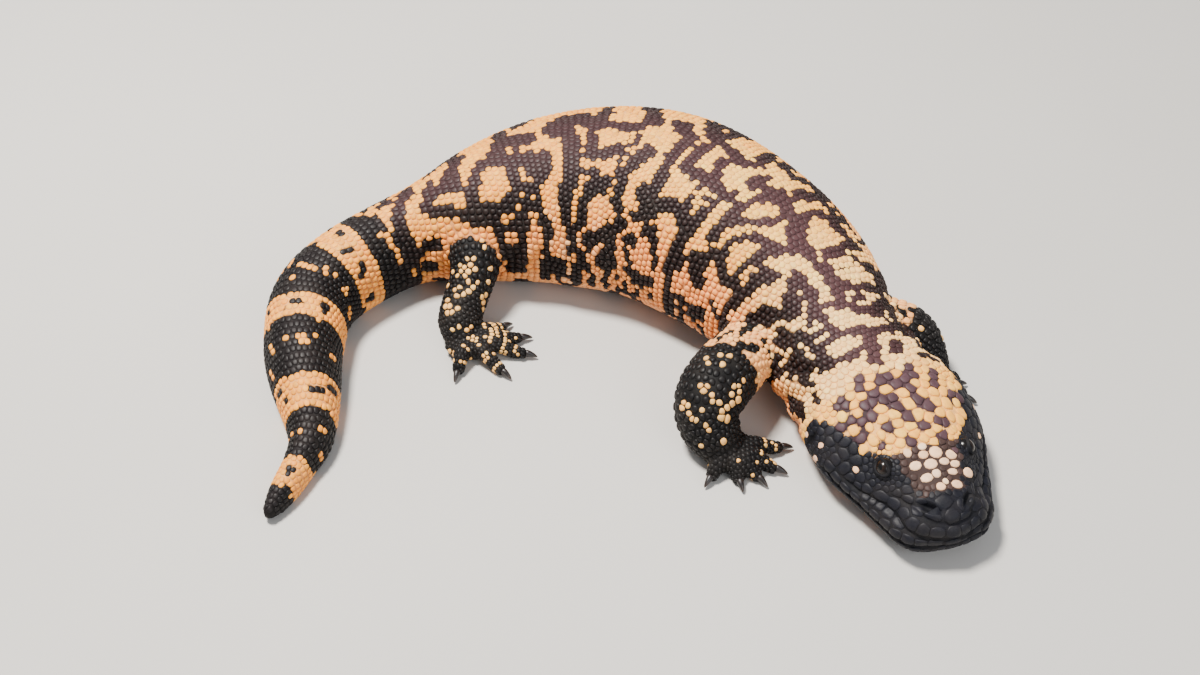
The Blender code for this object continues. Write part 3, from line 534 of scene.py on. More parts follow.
BACK_LIGHT, OCHRE_LIGHT, FLANK_LIGHT = tone(255, 192, 92), tone(246, 168, 62), tone(247, 155, 80)
LOW_LIGHT, NECK_LIGHT, LIMB_LIGHT_TONE = tone(242, 162, 108), tone(255, 204, 130), tone(247, 188, 108)
CROWN_LIGHT, SNOUT_LIGHT, TAIL_ORANGE = tone(255, 182, 76), tone(255, 204, 160), tone(252, 166, 68)
BACK_DARK, FLANK_DARK, BLACK = tone(70, 44, 46), tone(30, 12, 9), tone(8, 5, 6)
SNOUT_SKIN, CROWN_DEEP, CHEEK_BLACK = tone(62, 45, 41), tone(72, 50, 56), tone(11, 12, 22)
LIGHT_GAP, THROAT_SPOT, REAR_LIGHT = tone(190, 106, 50), tone(244, 190, 150), tone(242, 156, 44)


def grain(points, size, seed=0.0):
    """Smooth noise from -1 to 1 at each point."""
    moved = np.asarray(points) / size + seed
    return np.array([noise.noise(p) for p in moved.tolist()])


# How far along the body a stroke can matter.
STROKE_REACH = 8


def stroke_distance(strokes, s, angle, round_mm):
    """How far each place is outside the nearest stroke, in millimetres, negative inside."""
    best = np.full(len(s), 99.0)
    for width, *line in strokes:
        spots = np.array(line, float).reshape(-1, 2)
        for (s0, a0), (s1, a1) in zip(spots, spots[1:]):
            near = (s > min(s0, s1) - STROKE_REACH) & (s < max(s0, s1) + STROKE_REACH)
            if not near.any():
                continue
            px, py = s[near] - s0, (angle[near] - a0) * round_mm[near]
            qx, qy = np.full(px.shape, s1 - s0), (a1 - a0) * round_mm[near]
            t = np.clip((px * qx + py * qy) / np.maximum(qx * qx + qy * qy, 1e-6), 0, 1)
            reach = np.hypot(px - qx * t, py - qy * t) - width / 2
            best[near] = np.minimum(best[near], reach)
    return best


# Strokes further round than this are on the flank that shows.
FLANK_FROM = 42


def mirrored(strokes):
    """Strokes of the hidden left flank: those of the right one, moved a little."""
    other = []
    for n, (width, *line) in enumerate(strokes):
        spots = np.array(line, float).reshape(-1, 2)
        if spots[:, 1].mean() > FLANK_FROM:
            # Uneven from stroke to stroke, so that the flanks are no mirror image.
            shift = (n * 37 % 11 - 5) * 0.7
            spots = spots * (1, -1) + (shift, (n * 53 % 7 - 3) * 1.2)
            other.append((width * 1.1, *spots.ravel()))
    return tuple(strokes) + tuple(other)


DARK_ALL, LIGHT_ALL = mirrored(DARK), mirrored(LIGHT)


def mix(a, b, share):
    """Colours between a and b, by a share for each point."""
    share = np.asarray(share)[:, None]
    return a * (1 - share) + b * share


def body_markings(s, angle, points, spread):
    """Where the body is dark, its strokes drawn wider by a spread, and its light and dark colours."""
    round_mm = degree_length(s)
    edge = grain(points, 3.0) * 0.35
    away = abs(angle)
    wider = np.interp(s, *DARK_WIDER) * (1 - 0.45 * np.clip((away - 30) / 20, 0, 1))
    dark = stroke_distance(DARK_ALL, s, angle, round_mm) < edge + spread + wider
    under = away > 112 + grain(points, 14.0, 5.0) * 6
    bands = np.sin(s / 4.3 + grain(points, 22.0, 9.0) * 3.2) + grain(points, 9.0, 3.0) * 1.4
    dark = np.where(under & (s > 60), bands > 0.25, dark)
    dark &= ~(stroke_distance(LIGHT_ALL, s, angle, round_mm) < edge - spread)

    tail = s > 294 + grain(points, 8.0, 2.0) * 2.5
    shifted = s + grain(points, 6.0, 4.0) * 1.3 + np.where(away > 100, 1.5, 0.0)
    band = np.zeros(len(s), bool)
    for first, last in TAIL_BANDS:
        band |= (shifted > first - spread - 0.6) & (shifted < last + spread + 0.6)
    band |= stroke_distance(mirrored(TAIL_DARK), s, angle, round_mm) < edge
    band &= ~(stroke_distance(mirrored(TAIL_LIGHT), s, angle, round_mm) < edge - spread)
    dark = np.where(tail, band, dark)

    light = mix(BACK_LIGHT, OCHRE_LIGHT, np.clip((away - 14) / 30, 0, 0.75))
    light = mix(light, OCHRE_LIGHT, np.clip(grain(points, 20.0, 7.0) * 0.9, 0, 0.4))
    light = mix(light, FLANK_LIGHT, np.clip((away - 40) / 26, 0, 1))
    light = mix(light, LOW_LIGHT, np.clip((away - 90) / 30, 0, 1))
    light = mix(light, TAIL_ORANGE, np.clip((s - 286) / 14, 0, 0.8))
    light = mix(light, NECK_LIGHT, np.clip((128 - s) / 40, 0, 0.85) * np.clip((98 - away) / 25, 0, 1))
    pink = np.exp(-((s - 226) / 22) ** 2) * np.clip((away - 38) / 14, 0, 1)
    pink = pink * np.clip(grain(points, 3.0, 12.0) * 2, 0, 0.6)
    light = mix(light, SNOUT_LIGHT, pink)
    warm = np.interp(s, (150, 200, 230, 285, 300, 360, 385), (0, 0.55, 0.75, 0.75, 0.5, 0.7, 0.95))
    light = mix(light, REAR_LIGHT, warm * (1 - 0.6 * np.clip((away - 40) / 26, 0, 1)))
    deep = mix(BACK_DARK, FLANK_DARK, np.clip((away - 8) / 34, 0, 1))
    deep = deep * (1 - 0.35 * np.clip((s - 120) / 70, 0, 1))[:, None]
    deep = mix(deep, BLACK, np.clip((s - 296) / 12, 0, 0.9))
    return dark, light, deep


def head_markings(s, angle, points, spread):
    """The same for the head. The snout's pale scales are told apart there."""
    round_mm = np.radians(1) * np.full(len(s), HEAD_RADIUS)
    edge = grain(points, 2.0) * 0.3
    away = abs(angle)
    black = away > from_table(CHEEK_EDGE, s) + grain(points, 4.0, 1.0) * 2.0
    black &= s < 57
    black |= (s < 12.5 + grain(points, 3.0, 6.0) * 0.8) & (away < 150)
    crown = stroke_distance(CROWN_DARK, s, angle, round_mm) < edge + 0.3 + spread
    snout = (s < 29) & ~black
    pale = np.zeros(len(s), bool)
    for place, around, tall, wide in SNOUT_PALE:
        pale |= np.hypot((s - place) / wide, (angle - around) * HEAD_DEGREE / tall) < 1.15
    under = away > 118
    chin = under & (np.sin(s / 3.0 + grain(points, 9.0, 3.0) * 3) > 0.5) & (s > 22)
    light = np.tile(CROWN_LIGHT, (len(s), 1))
    light[snout] = SNOUT_LIGHT
    light[under] = LOW_LIGHT
    light = mix(light, NECK_LIGHT, np.clip((s - 57) / 14, 0, 0.8))
    throat = (s > 43) & (away > 74) & (grain(points, 3.2, 8.0) > 0.22)
    dark = black | crown | (snout & ~pale)
    dark = (dark & ~chin & ~throat) | (under & ~chin)
    light[throat & black & ~under] = THROAT_SPOT
    deep = mix(CROWN_DEEP, CHEEK_BLACK, black | under)
    deep[snout & ~pale] = SNOUT_SKIN
    return dark, light, deep


def limb_markings(limb, along, angle, points, spread):
    """The same for a limb: light over the shoulder or hip, then black with a few light beads."""
    _, run, radii = LINES[limb]
    round_mm = np.radians(1) * np.interp(along, run, radii)
    edge = LIMB_BLACK_FROM[limb] + grain(points, 7.0, 4.0) * 3.0
    light_root = along < edge
    root_dark = stroke_distance(ROOT_DARK[limb], along, angle, round_mm) < grain(points, 2.5) * 0.4 + spread
    root_dark &= light_root
    spot = np.zeros(len(along), bool)
    for place, around, radius in LIMB_LIGHT[limb]:
        turn = (angle - around + 180) % 360 - 180
        spot |= np.hypot(along - place, turn * round_mm) < radius - spread
    dark = (~light_root & ~spot) | root_dark
    light = np.tile(LIMB_LIGHT_TONE, (len(along), 1))
    light[light_root] = FLANK_LIGHT * 0.6 + NECK_LIGHT * 0.4
    return dark, light, np.tile(BLACK, (len(along), 1))


# ---------------------------------------------------------------- skin


def add_object(name, data):
    """Puts a mesh, lamp or camera in the scene."""
    obj = bpy.data.objects.new(name, data)
    bpy.context.scene.collection.objects.link(obj)
    return obj


def from_shape(name, shape):
    """An object with a bmesh's faces. The bmesh is freed."""
    mesh = bpy.data.meshes.new(name)
    shape.to_mesh(mesh)
    shape.free()
    return add_object(name, mesh)


def ring_mesh(rings):
    """A closed tube through rings of points, as a bmesh."""
    shape = bmesh.new()
    rows = [[shape.verts.new(Vector(p) * MM) for p in ring] for ring in rings]
    for row, after in zip(rows, rows[1:]):
        for k in range(len(row)):
            n = (k + 1) % len(row)
            shape.faces.new((row[k], row[n], after[n], after[k]))
    shape.faces.new(rows[0][::-1])
    shape.faces.new(rows[-1])
    bmesh.ops.recalc_face_normals(shape, faces=shape.faces)
    return shape


def tube(path, radii, sides=24):
    """Round sections along a path."""
    rings, across = [], None
    for k, radius in enumerate(radii):
        along = Vector(path[min(k + 1, len(path) - 1)] - path[max(k - 1, 0)]).normalized()
        if across is None:
            across = along.cross(Vector((0, 0, 1))).normalized()
        across = (across - along * across.dot(along)).normalized()
        other = along.cross(across)
        turns = np.linspace(0, 2 * math.pi, sides, endpoint=False)
        rings.append([
            Vector(path[k]) + (across * math.cos(t) + other * math.sin(t)) * radius for t in turns
        ])
    return ring_mesh(rings)


def add_shape(target, shape):
    """Adds a bmesh's faces to another and frees it."""
    mesh = bpy.data.meshes.new("part")
    shape.to_mesh(mesh)
    shape.free()
    target.from_mesh(mesh)
    bpy.data.meshes.remove(mesh)


def rough_skin():
    """The body, limbs, soles and toes, run together."""
    whole = bmesh.new()
    s = np.concatenate([np.linspace(0, 1, 30) ** 1.5 * 30, np.arange(31.0, LENGTH + 0.1, 1.0)])
    depth = from_table(COAT, s)
    rings = [body_point(d, np.arange(0, 360, 3.0), c) for d, c in zip(s, depth)]
    for ring in rings:
        ring[:, 2] = np.maximum(ring[:, 2], FLOOR_COAT)
    add_shape(whole, ring_mesh(rings))
    for limb, (path, _, radii) in LINES.items():
        keep = slice(0, None, 4)
        add_shape(whole, tube(path[keep], radii[keep] - LIMB_COAT))
        x, y, long, wide, high = SOLES[limb]
        ball = bmesh.new()
        bmesh.ops.create_uvsphere(ball, u_segments=32, v_segments=20, radius=1.0)
        turn = math.radians(TOES[limb][2][0])
        for v in ball.verts:
            px, py = v.co.x * (long * 0.86 - TOE_COAT), v.co.y * (wide * 0.86 - TOE_COAT)
            v.co = Vector((
                x + px * math.cos(turn) - py * math.sin(turn),
                y + px * math.sin(turn) + py * math.cos(turn),
                high * 0.42 + v.co.z * (high * 0.55 - TOE_COAT),
            )) * MM
        add_shape(whole, ball)
        for toe in range(5):
            line = toe_line(limb, toe)
            radius = np.interp(np.linspace(0, 1, TOE_FINE), np.linspace(0, 1, 5), TOE_RADII) - TOE_COAT
            radius[-6:] *= np.sqrt(np.clip(1 - (np.arange(6) / 6.5) ** 2, 0.1, 1))
            add_shape(whole, tube(line[::2], radius[::2], 16))
    obj = from_shape("skin", whole)
    step = obj.modifiers.new("Remesh", "REMESH")
    step.mode = "VOXEL"
    step.voxel_size = VOXEL * MM
    made = bpy.data.meshes.new_from_object(obj.evaluated_get(bpy.context.evaluated_depsgraph_get()))
    obj.modifiers.remove(step)
    obj.data = made
    made.name = "skin"
    return obj


def mesh_points(mesh):
    """A mesh's points, in millimetres."""
    flat = np.empty(len(mesh.vertices) * 3)
    mesh.vertices.foreach_get("co", flat)
    return flat.reshape(-1, 3) / MM


def mesh_normals(mesh):
    flat = np.empty(len(mesh.vertices) * 3)
    mesh.vertex_normals.foreach_get("vector", flat)
    return flat.reshape(-1, 3)


def set_points(mesh, points):
    mesh.vertices.foreach_set("co", (np.asarray(points) * MM).ravel())
    mesh.update()


def mesh_edges(mesh):
    flat = np.empty(len(mesh.edges) * 2, int)
    mesh.edges.foreach_get("vertices", flat)
    return flat.reshape(-1, 2)


def smooth(points, edges, rounds, weight, shrink_back=True):
    """Evens out the surface, by a weight for each point, without shrinking it."""
    count = np.bincount(edges.ravel(), minlength=len(points))[:, None]
    for step in range(rounds * (2 if shrink_back else 1)):
        near = np.zeros_like(points)
        for axis in range(3):
            near[:, axis] = np.bincount(edges[:, 0], points[edges[:, 1], axis], len(points))
            near[:, axis] += np.bincount(edges[:, 1], points[edges[:, 0], axis], len(points))
        pull = 0.5 if step % 2 == 0 or not shrink_back else -0.52
        points = points + pull * weight[:, None] * (near / np.maximum(count, 1) - points)
    return points


def head_axis():
    """The head's straight axis in plan: the snout's place, and its directions ahead and right."""
    front, rear = spine_frame(0.0)[0], spine_frame(70.0)[0]
    ahead = unit(front - rear)
    return front, ahead, np.array([ahead[1], -ahead[0]])


def behind_snout(points):
    """How far points are behind the snout along that axis."""
    front, ahead, _ = head_axis()
    return -((points[..., :2] - front) @ ahead)


def eye_frame(side):
    """An eye's centre, and the directions it looks in, forwards along the head, and up the lids."""
    plan, ahead = spine_frame(EYE_AT[0])
    right = np.array([ahead[1], -ahead[0]]) * side
    centre = np.array([*(plan + right * EYE_AT[1]), EYE_AT[2]])
    out = unit(np.array([*(right * 0.80 + ahead * 0.14), 0.56]))
    fore = np.array([*ahead, 0.0])
    fore = unit(fore - out * (fore @ out))
    up = unit(np.array([0.0, 0.0, 1.0]) - out * out[2])
    return centre, out, fore, up


def eye_place(points, side):
    """Distance from an eye's centre, and how far round it from its middle, where 1 is the lid."""
    centre, out, fore, up = eye_frame(side)
    away = points - centre
    reach = np.linalg.norm(away, axis=-1)
    facing = np.degrees(np.arccos(np.clip((away @ out) / np.maximum(reach, 1e-6), -1, 1)))
    turn = np.arctan2(away @ up, away @ fore)
    return reach, facing * np.hypot(np.cos(turn) / LID_LONG, np.sin(turn) / LID_HIGH), turn


def spot_frame(s, angle, side, slant=0.0):
    """Middle of a hollow in the head, and the directions outwards and of its length."""
    centre = body_point(s, angle * side, 0.45)
    around = unit(body_point(s, (angle + 4) * side) - body_point(s, (angle - 4) * side))
    along = unit(body_point(s + 1, angle * side) - body_point(s - 1, angle * side))
    out = unit(np.cross(along, around)) * side
    middle = np.array([*spine_frame(s)[0], 12.0])
    out = out if (centre - middle) @ out > 0 else -out
    slant = math.radians(slant)
    return centre, out, unit(around * math.cos(slant) + along * math.sin(slant))


# Nostril and ear: distance and angle, half length and half width, depth, room kept free of scales,
# and how far they slant backwards.
HOLLOWS = ((8.6, 30.0, 3.1, 1.3, 2.1, 2.3, 48.0), (52.5, 84.0, 3.3, 1.25, 1.3, 2.4, 0.0))


# Creases of the neck, armpit and throat: width, depth, then distance and angle.
FOLDS = (
    (2.2, 0.9, 68, 62, 74, 76, 79, 96, 83, 120), (1.8, 0.7, 61, 70, 66, 88, 70, 108),
    (2.0, 0.8, 76, 50, 82, 66, 88, 84), (2.4, 0.9, 84, 60, 92, 76, 97, 92),
    (1.8, 0.6, 90, 52, 98, 66, 103, 80), (1.8, 0.5, 72, 34, 75, 48, 80, 60),
    (2.2, 0.7, 250, 70, 256, 86, 262, 100), (1.8, 0.5, 243, 80, 248, 94),
    (2.0, 0.8, 284, 60, 292, 82, 296, 100), (1.6, 0.4, 127, 72, 132, 92, 136, 108),
    (1.6, 0.35, 139, 76, 143, 96), (1.8, 0.35, 118, 70, 122, 96),
)


def sculpt(points, normals):
    """Presses the mouth, nostrils, ears, eye sockets and folds into the skin, and raises lids."""
    s, angle, fullness = body_place(points)
    round_mm = degree_length(s)
    body = fullness < 1.04
    for width, depth, *line in FOLDS:
        for side in (1, -1):
            spots = np.array(line, float).reshape(-1, 2) * (1, side)
            off = stroke_distance(((0.0, *spots.ravel()),), s, angle, round_mm)
            press = depth * (np.exp(-(off / width) ** 2) - 0.45 * np.exp(-((off - 2.2 * width) / width) ** 2))
            points = points - normals * (press * body)[:, None]

    along = behind_snout(points)
    off = points[:, 2] - from_table(MOUTH_LINE, along)
    inside = np.clip((43.0 - along) / 3.0, 0, 1) * (s < 50)
    groove = 1.0 * np.exp(-(off / 0.8) ** 2)
    for row, deep, stop in zip(FURROWS, (0.8, 0.65), (36.0, 20.0)):
        off = points[:, 2] - from_table(row, along)
        groove = groove + deep * np.exp(-(off / 0.75) ** 2) * np.clip((stop - along) / 6.0, 0, 1)
    points = points - normals * (groove * inside)[:, None]
    dip = 0.55 / (1 + np.exp(-(s - 13.0) / 0.8)) / (1 + np.exp((s - 27.0) / 2.0))
    dip = dip / (1 + np.exp((abs(angle) - 36) / 3.0))
    points = points - normals * dip[:, None]

    for side in (1, -1):
        for s_at, turned, long_half, wide_half, deep, _, slant in HOLLOWS:
            centre, out, long = spot_frame(s_at, turned, side, slant)
            away = points - centre
            spread = np.hypot((away @ long) / long_half, (away @ np.cross(out, long)) / wide_half)
            near = abs(away @ out) < 6
            press = deep * np.exp(-(spread**2.6)) - 0.3 * np.exp(-((spread - 1.75) / 0.5) ** 2)
            points = points - out * (press * near)[:, None]
        reach, around, _ = eye_place(points, side)
        centre = eye_frame(side)[0]
        direction = (points - centre) / np.maximum(reach, 1e-6)[:, None]
        lid = EYE_RADIUS + LID_OVER
        heights = (2.6, 2.8, 3.6, lid, lid + 0.15, lid - 0.6, lid - 0.2)
        target = np.interp(around, (0, 0.9, 1.0, 1.1, 1.26, 1.44, 1.62), heights)
        share = np.interp(around, (0, 1.45, 2.1), (1.0, 1.0, 0.0)) * (reach < 9)
        points = points + direction * ((target - reach) * share)[:, None]
    return points


def near_lines(points, reach):
    """Which points are close to the mouth line or a furrow of the lips."""
    front, along = head_axis()[0], behind_snout(points)
    near = np.zeros(len(points), bool)
    for row, stop in zip(LIP_LINES, (43.0, 36.0, 20.0)):
        near |= (abs(points[:, 2] - from_table(row, along)) < reach) & (along < stop)
    return near & (np.linalg.norm(points[:, :2] - front, axis=1) < 60)


# How far from a line of the lips the skin is cut finer.
LIP_FINE = 1.5


def refine(obj):
    """Cuts the skin finer round the eyes, nostrils, ears and mouth."""
    shape = bmesh.new()
    shape.from_mesh(obj.data)
    spots = [(eye_frame(side)[0], 8.0) for side in (1, -1)]
    spots += [(spot_frame(s, a, side)[0], long + 2.4) for s, a, long, *_ in HOLLOWS for side in (1, -1)]
    for rounds in range(2):
        points = np.array([v.co for v in shape.verts]) / MM
        near = np.zeros(len(points), bool)
        for centre, radius in spots:
            near |= np.linalg.norm(points - centre, axis=1) < radius * (1 - 0.25 * rounds)
        lips = near_lines(points, LIP_FINE) if rounds == 0 else np.zeros(len(points), bool)
        shape.verts.index_update()
        ends = [(e, e.verts[0].index, e.verts[1].index) for e in shape.edges]
        edges = [e for e, a, b in ends if near[a] or (lips[a] and lips[b])]
        bmesh.ops.subdivide_edges(shape, edges=edges, cuts=1, use_grid_fill=True, smooth=0.0)
    bmesh.ops.triangulate(shape, faces=[f for f in shape.faces if len(f.verts) > 4])
    shape.to_mesh(obj.data)
    shape.free()


# What is this close to the middle of a sole, and this low, belongs to its limb.
SOLE_REACH, SOLE_HIGH = 24, 10


def region(points):
    """For each point, the index of the limb it is on, or -1 on the body, and its body place."""
    s, angle, fullness = body_place(points)
    code = np.full(len(points), -1)
    outside = (fullness > np.where(s > 60, 1.035, 1.25)) & (s > 25)
    best = np.full(len(points), 1e9)
    where = {}
    some = np.nonzero(outside)[0]
    for n, limb in enumerate(LIMBS):
        along, turn, over = limb_place(limb, points[some])
        x, y = SOLES[limb][:2]
        sole = np.hypot(points[some, 0] - x, points[some, 1] - y) - SOLE_REACH
        score = np.where(points[some, 2] < SOLE_HIGH, np.minimum(over, sole), over)
        where[n] = (along, turn)
        closer = score < best[some]
        best[some[closer]] = score[closer]
        code[some[closer]] = n
    along, turn = np.zeros(len(points)), np.zeros(len(points))
    for n in where:
        mine = code[some] == n
        along[some[mine]], turn[some[mine]] = where[n][0][mine], where[n][1][mine]
    return code, s, angle, along, turn


def markings(points, spread=0.0):
    """Whether each point of the surface is dark, and its light and dark colours."""
    code, s, angle, along, turn = region(points)
    dark = np.zeros(len(points), bool)
    light, deep = np.zeros((len(points), 3)), np.zeros((len(points), 3))
    head = (code < 0) & (s < 62 + 2 * np.sin(angle / 9))
    body = (code < 0) & ~head
    for mask, rule in ((head, head_markings), (body, body_markings)):
        if mask.any():
            dark[mask], light[mask], deep[mask] = rule(s[mask], angle[mask], points[mask], spread)
    for n, limb in enumerate(LIMBS):
        mask = code == n
        if mask.any():
            result = limb_markings(limb, along[mask], turn[mask], points[mask], spread)
            dark[mask], light[mask], deep[mask] = result
    return dark, light, deep, code, s, angle


# How much wider the dark strokes are between the scales than on them.
SKIN_SPREAD = 1.1


def skin_colours(points):
    """Colour of the bare skin between the scales."""
    dark, light, deep, code, s, angle = markings(points, SKIN_SPREAD)
    away = abs(angle)
    dark |= (code < 0) & (s > 40) & (s < 58) & (away > from_table(CHEEK_EDGE, s) + 2) & (away < 112)
    flank = np.clip((away - 25) / 40, 0, 1) * (code < 0)
    gap = mix(mix(light, SNOUT_LIGHT, np.full(len(s), 0.25)) * 0.85, LIGHT_GAP * 0.8, 0.5 * flank * (s > 62))
    gap = np.where(dark[:, None], deep * np.where(away < 30, 0.85, 0.5)[:, None], gap)
    snout = (code < 0) & (s > 12) & (s < 29) & (away < 37)
    gap[snout] = SNOUT_SKIN * 0.75
    return gap


def colour_points(mesh, name, colours):
    """Stores a colour for each point of a mesh."""
    layer = mesh.color_attributes.new(name, "FLOAT_COLOR", "POINT")
    flat = np.ones((len(colours), 4))
    flat[:, :3] = colours
    layer.data.foreach_set("color", flat.ravel())


def value_points(mesh, name, values):
    """Stores a number for each point of a mesh."""
    layer = mesh.attributes.new(name, "FLOAT", "POINT")
    layer.data.foreach_set("value", np.asarray(values, float).ravel())


def make_skin():
    """The skin, with eased roots of the limbs, and everything pressed in it."""
    obj = rough_skin()
    points, edges = mesh_points(obj.data), mesh_edges(obj.data)
    points = smooth(points, edges, 4, np.ones(len(points)))
    root = np.zeros(len(points))
    fullness = body_place(points)[2]
    for limb in LIMBS:
        _, _, over = limb_place(limb, points)
        root = np.maximum(root, np.exp(-((fullness - 1.03) / 0.07) ** 2) * np.exp(-(over / 2.5) ** 2))
    points = smooth(points, edges, 14, np.clip(root * 1.3, 0, 1), shrink_back=False)
    points[:, 2] = np.maximum(points[:, 2], FLOOR_COAT)
    set_points(obj.data, points)
    refine(obj)
    points = sculpt(mesh_points(obj.data), mesh_normals(obj.data))
    points[:, 2] = np.maximum(points[:, 2], FLOOR_COAT)
    set_points(obj.data, points)
    obj.data.shade_smooth()
    return obj


class Surface:
    """The skin as something that scales can be set on."""

    def __init__(self, mesh):
        self.points, self.normals = mesh_points(mesh), mesh_normals(mesh)
        mesh.calc_loop_triangles()
        flat = np.empty(len(mesh.loop_triangles) * 3, int)
        mesh.loop_triangles.foreach_get("vertices", flat)
        self.faces = flat.reshape(-1, 3)
        self.tree = BVHTree.FromPolygons(self.points.tolist(), self.faces.tolist())

    def lay(self, points):
        """The nearest places on the surface, with its normals there."""
        places, outs = [], []
        for p in np.asarray(points).tolist():
            spot, _, face, _ = self.tree.find_nearest(p)
            corners = self.faces[face]
            far = np.linalg.norm(self.points[corners] - np.array(spot), axis=1)
            weight = 1 / (far + 0.05)
            places.append(spot)
            outs.append((self.normals[corners] * weight[:, None]).sum(0))
        return np.array(places), unit(np.array(outs))

    def cast(self, start, way):
        """Where a line meets the skin, if it does."""
        spot = self.tree.ray_cast(Vector(start), Vector(way))[0]
        return None if spot is None else np.array(spot)


# ---------------------------------------------------------------- where the scales are


def row_turns(s, pitch, shift):
    """Angles a pitch apart round a section, counted from the top, wider apart under the belly."""
    fine = np.linspace(-180, 180, 361)
    ring = body_point(np.full(361, s), fine, 0.7)
    step = np.linalg.norm(np.diff(ring, axis=0), axis=1)
    step = step / np.where(abs(fine[:-1] + 0.5) > 112, 1.35, 1.0)
    run = np.concatenate([[0.0], np.cumsum(step)])
    run = run - run[180]
    marks = np.arange(math.ceil(run[0] / pitch), run[-1] / pitch - 0.3) + shift
    return np.interp(marks * pitch, run, fine)


# Breadth of the scales round the body, by distance from the snout, and how far apart their rows
# are on the back and the outer side of the bend, on the inner flank, and low on that flank.
SIDE_PITCH = ((70, 100, 130, 280, 330, 400, 440), (2.1, 2.25, 2.35, 2.4, 2.3, 2.1, 1.6))
ROWS = (
    (((70, 130, 280, 300, 330, 440), (1.9, 2.0, 2.1, 2.6, 2.9, 2.1)), -181, -26),
    (((70, 100, 130, 280, 300, 400, 440), (1.95, 2.15, 2.35, 2.5, 2.9, 2.6, 2.0)), -26, 50),
    (((70, 100, 130, 260, 300, 400, 440), (2.0, 2.3, 2.9, 2.9, 3.0, 2.6, 2.0)), 50, 181),
)
# The first and last rows are between these distances.
ROWS_FROM, ROWS_TO = 72.5, 438.5


def body_rows():
    """Places in staggered rows across the body, in sectors."""
    found = []
    for pitch, low, high in ROWS:
        s, n = ROWS_FROM + chance.uniform(0, 1), 0
        while s < ROWS_TO:
            around = np.interp(s, *SIDE_PITCH)
            angle = row_turns(s, around, 0.5 * (n % 2))
            wander = chance.normal(0, 0.11, (2, len(angle))) * around
            turned = angle + wander[1] * 1.6
            place = s + wander[0]
            border = 5 * math.sin(s / 9.0) + 3 * math.sin(s / 3.7)
            mine = (turned > low + border * (low > -180)) & (turned <= high + border * (high < 180))
            found.append(np.stack([place[mine], turned[mine]], -1))
            s += np.interp(s, *pitch)
            n += 1
    return np.concatenate(found)


def point_tree(points):
    """The points, ready to look up those near a place."""
    tree = KDTree(len(points))
    for n, p in enumerate(points.tolist()):
        tree.insert(p, n)
    tree.balance()
    return tree


# As shares of a scale's breadth: closer than the first, the later scale is dropped, and closer than
# the second, both move apart.
TOO_CLOSE, CROWDED = 0.66, 0.94
# How often they move, by what share of the overlap, and the least move that counts.
MOVES, PUSH, LEAST_MOVE = 5, 0.35, 0.03


def thin_out(points, reach, first=0):
    """Drops places that are closer to an earlier one than their reach. The first few all stay."""
    tree = point_tree(points)
    gone = np.zeros(len(points), bool)
    for n, p in enumerate(points.tolist()):
        if gone[n]:
            continue
        for _, other, _ in tree.find_range(p, float(reach[n])):
            if other > n and other >= first:
                gone[other] = True
    return ~gone


def relax(points, reach, fixed, surface):
    """Moves crowded places apart along the skin."""
    for _ in range(MOVES):
        tree = point_tree(points)
        move = np.zeros_like(points)
        for n, p in enumerate(points.tolist()):
            if fixed[n]:
                continue
            for spot, other, far in tree.find_n(p, 6)[1:]:
                lack = (reach[n] + reach[other]) / 2 - far
                if lack > 0 and far > 1e-6:
                    move[n] += (points[n] - np.array(spot)) / far * lack * PUSH
        busy = np.nonzero(np.linalg.norm(move, axis=1) > LEAST_MOVE)[0]
        if len(busy) == 0:
            break
        spots, _ = surface.lay(points[busy] + move[busy])
        points[busy] = spots
    return points


def head_size(s, angle):
    """Breadth of the scales over the head."""
    away = abs(angle)
    crown = np.interp(s, (0, 9.5, 11.5, 27, 30, 45, 60, 72), (4.3, 4.3, 2.0, 2.0, 3.2, 3.9, 3.3, 2.3))
    cheek = np.interp(s, (0, 14, 20, 38, 48, 55, 72), (4.3, 4.0, 3.0, 4.1, 3.4, 2.4, 2.2))
    size = crown + (cheek - crown) * np.clip((away - 36) / 12, 0, 1)
    size = np.where((away > 72) & (s > 42), 2.1, size)
    return np.where(away > 120, 2.8, size)


# Random places tried for the head's plates, and the distance from the snout where these end.
TRIES, HEAD_END = 26000, 72


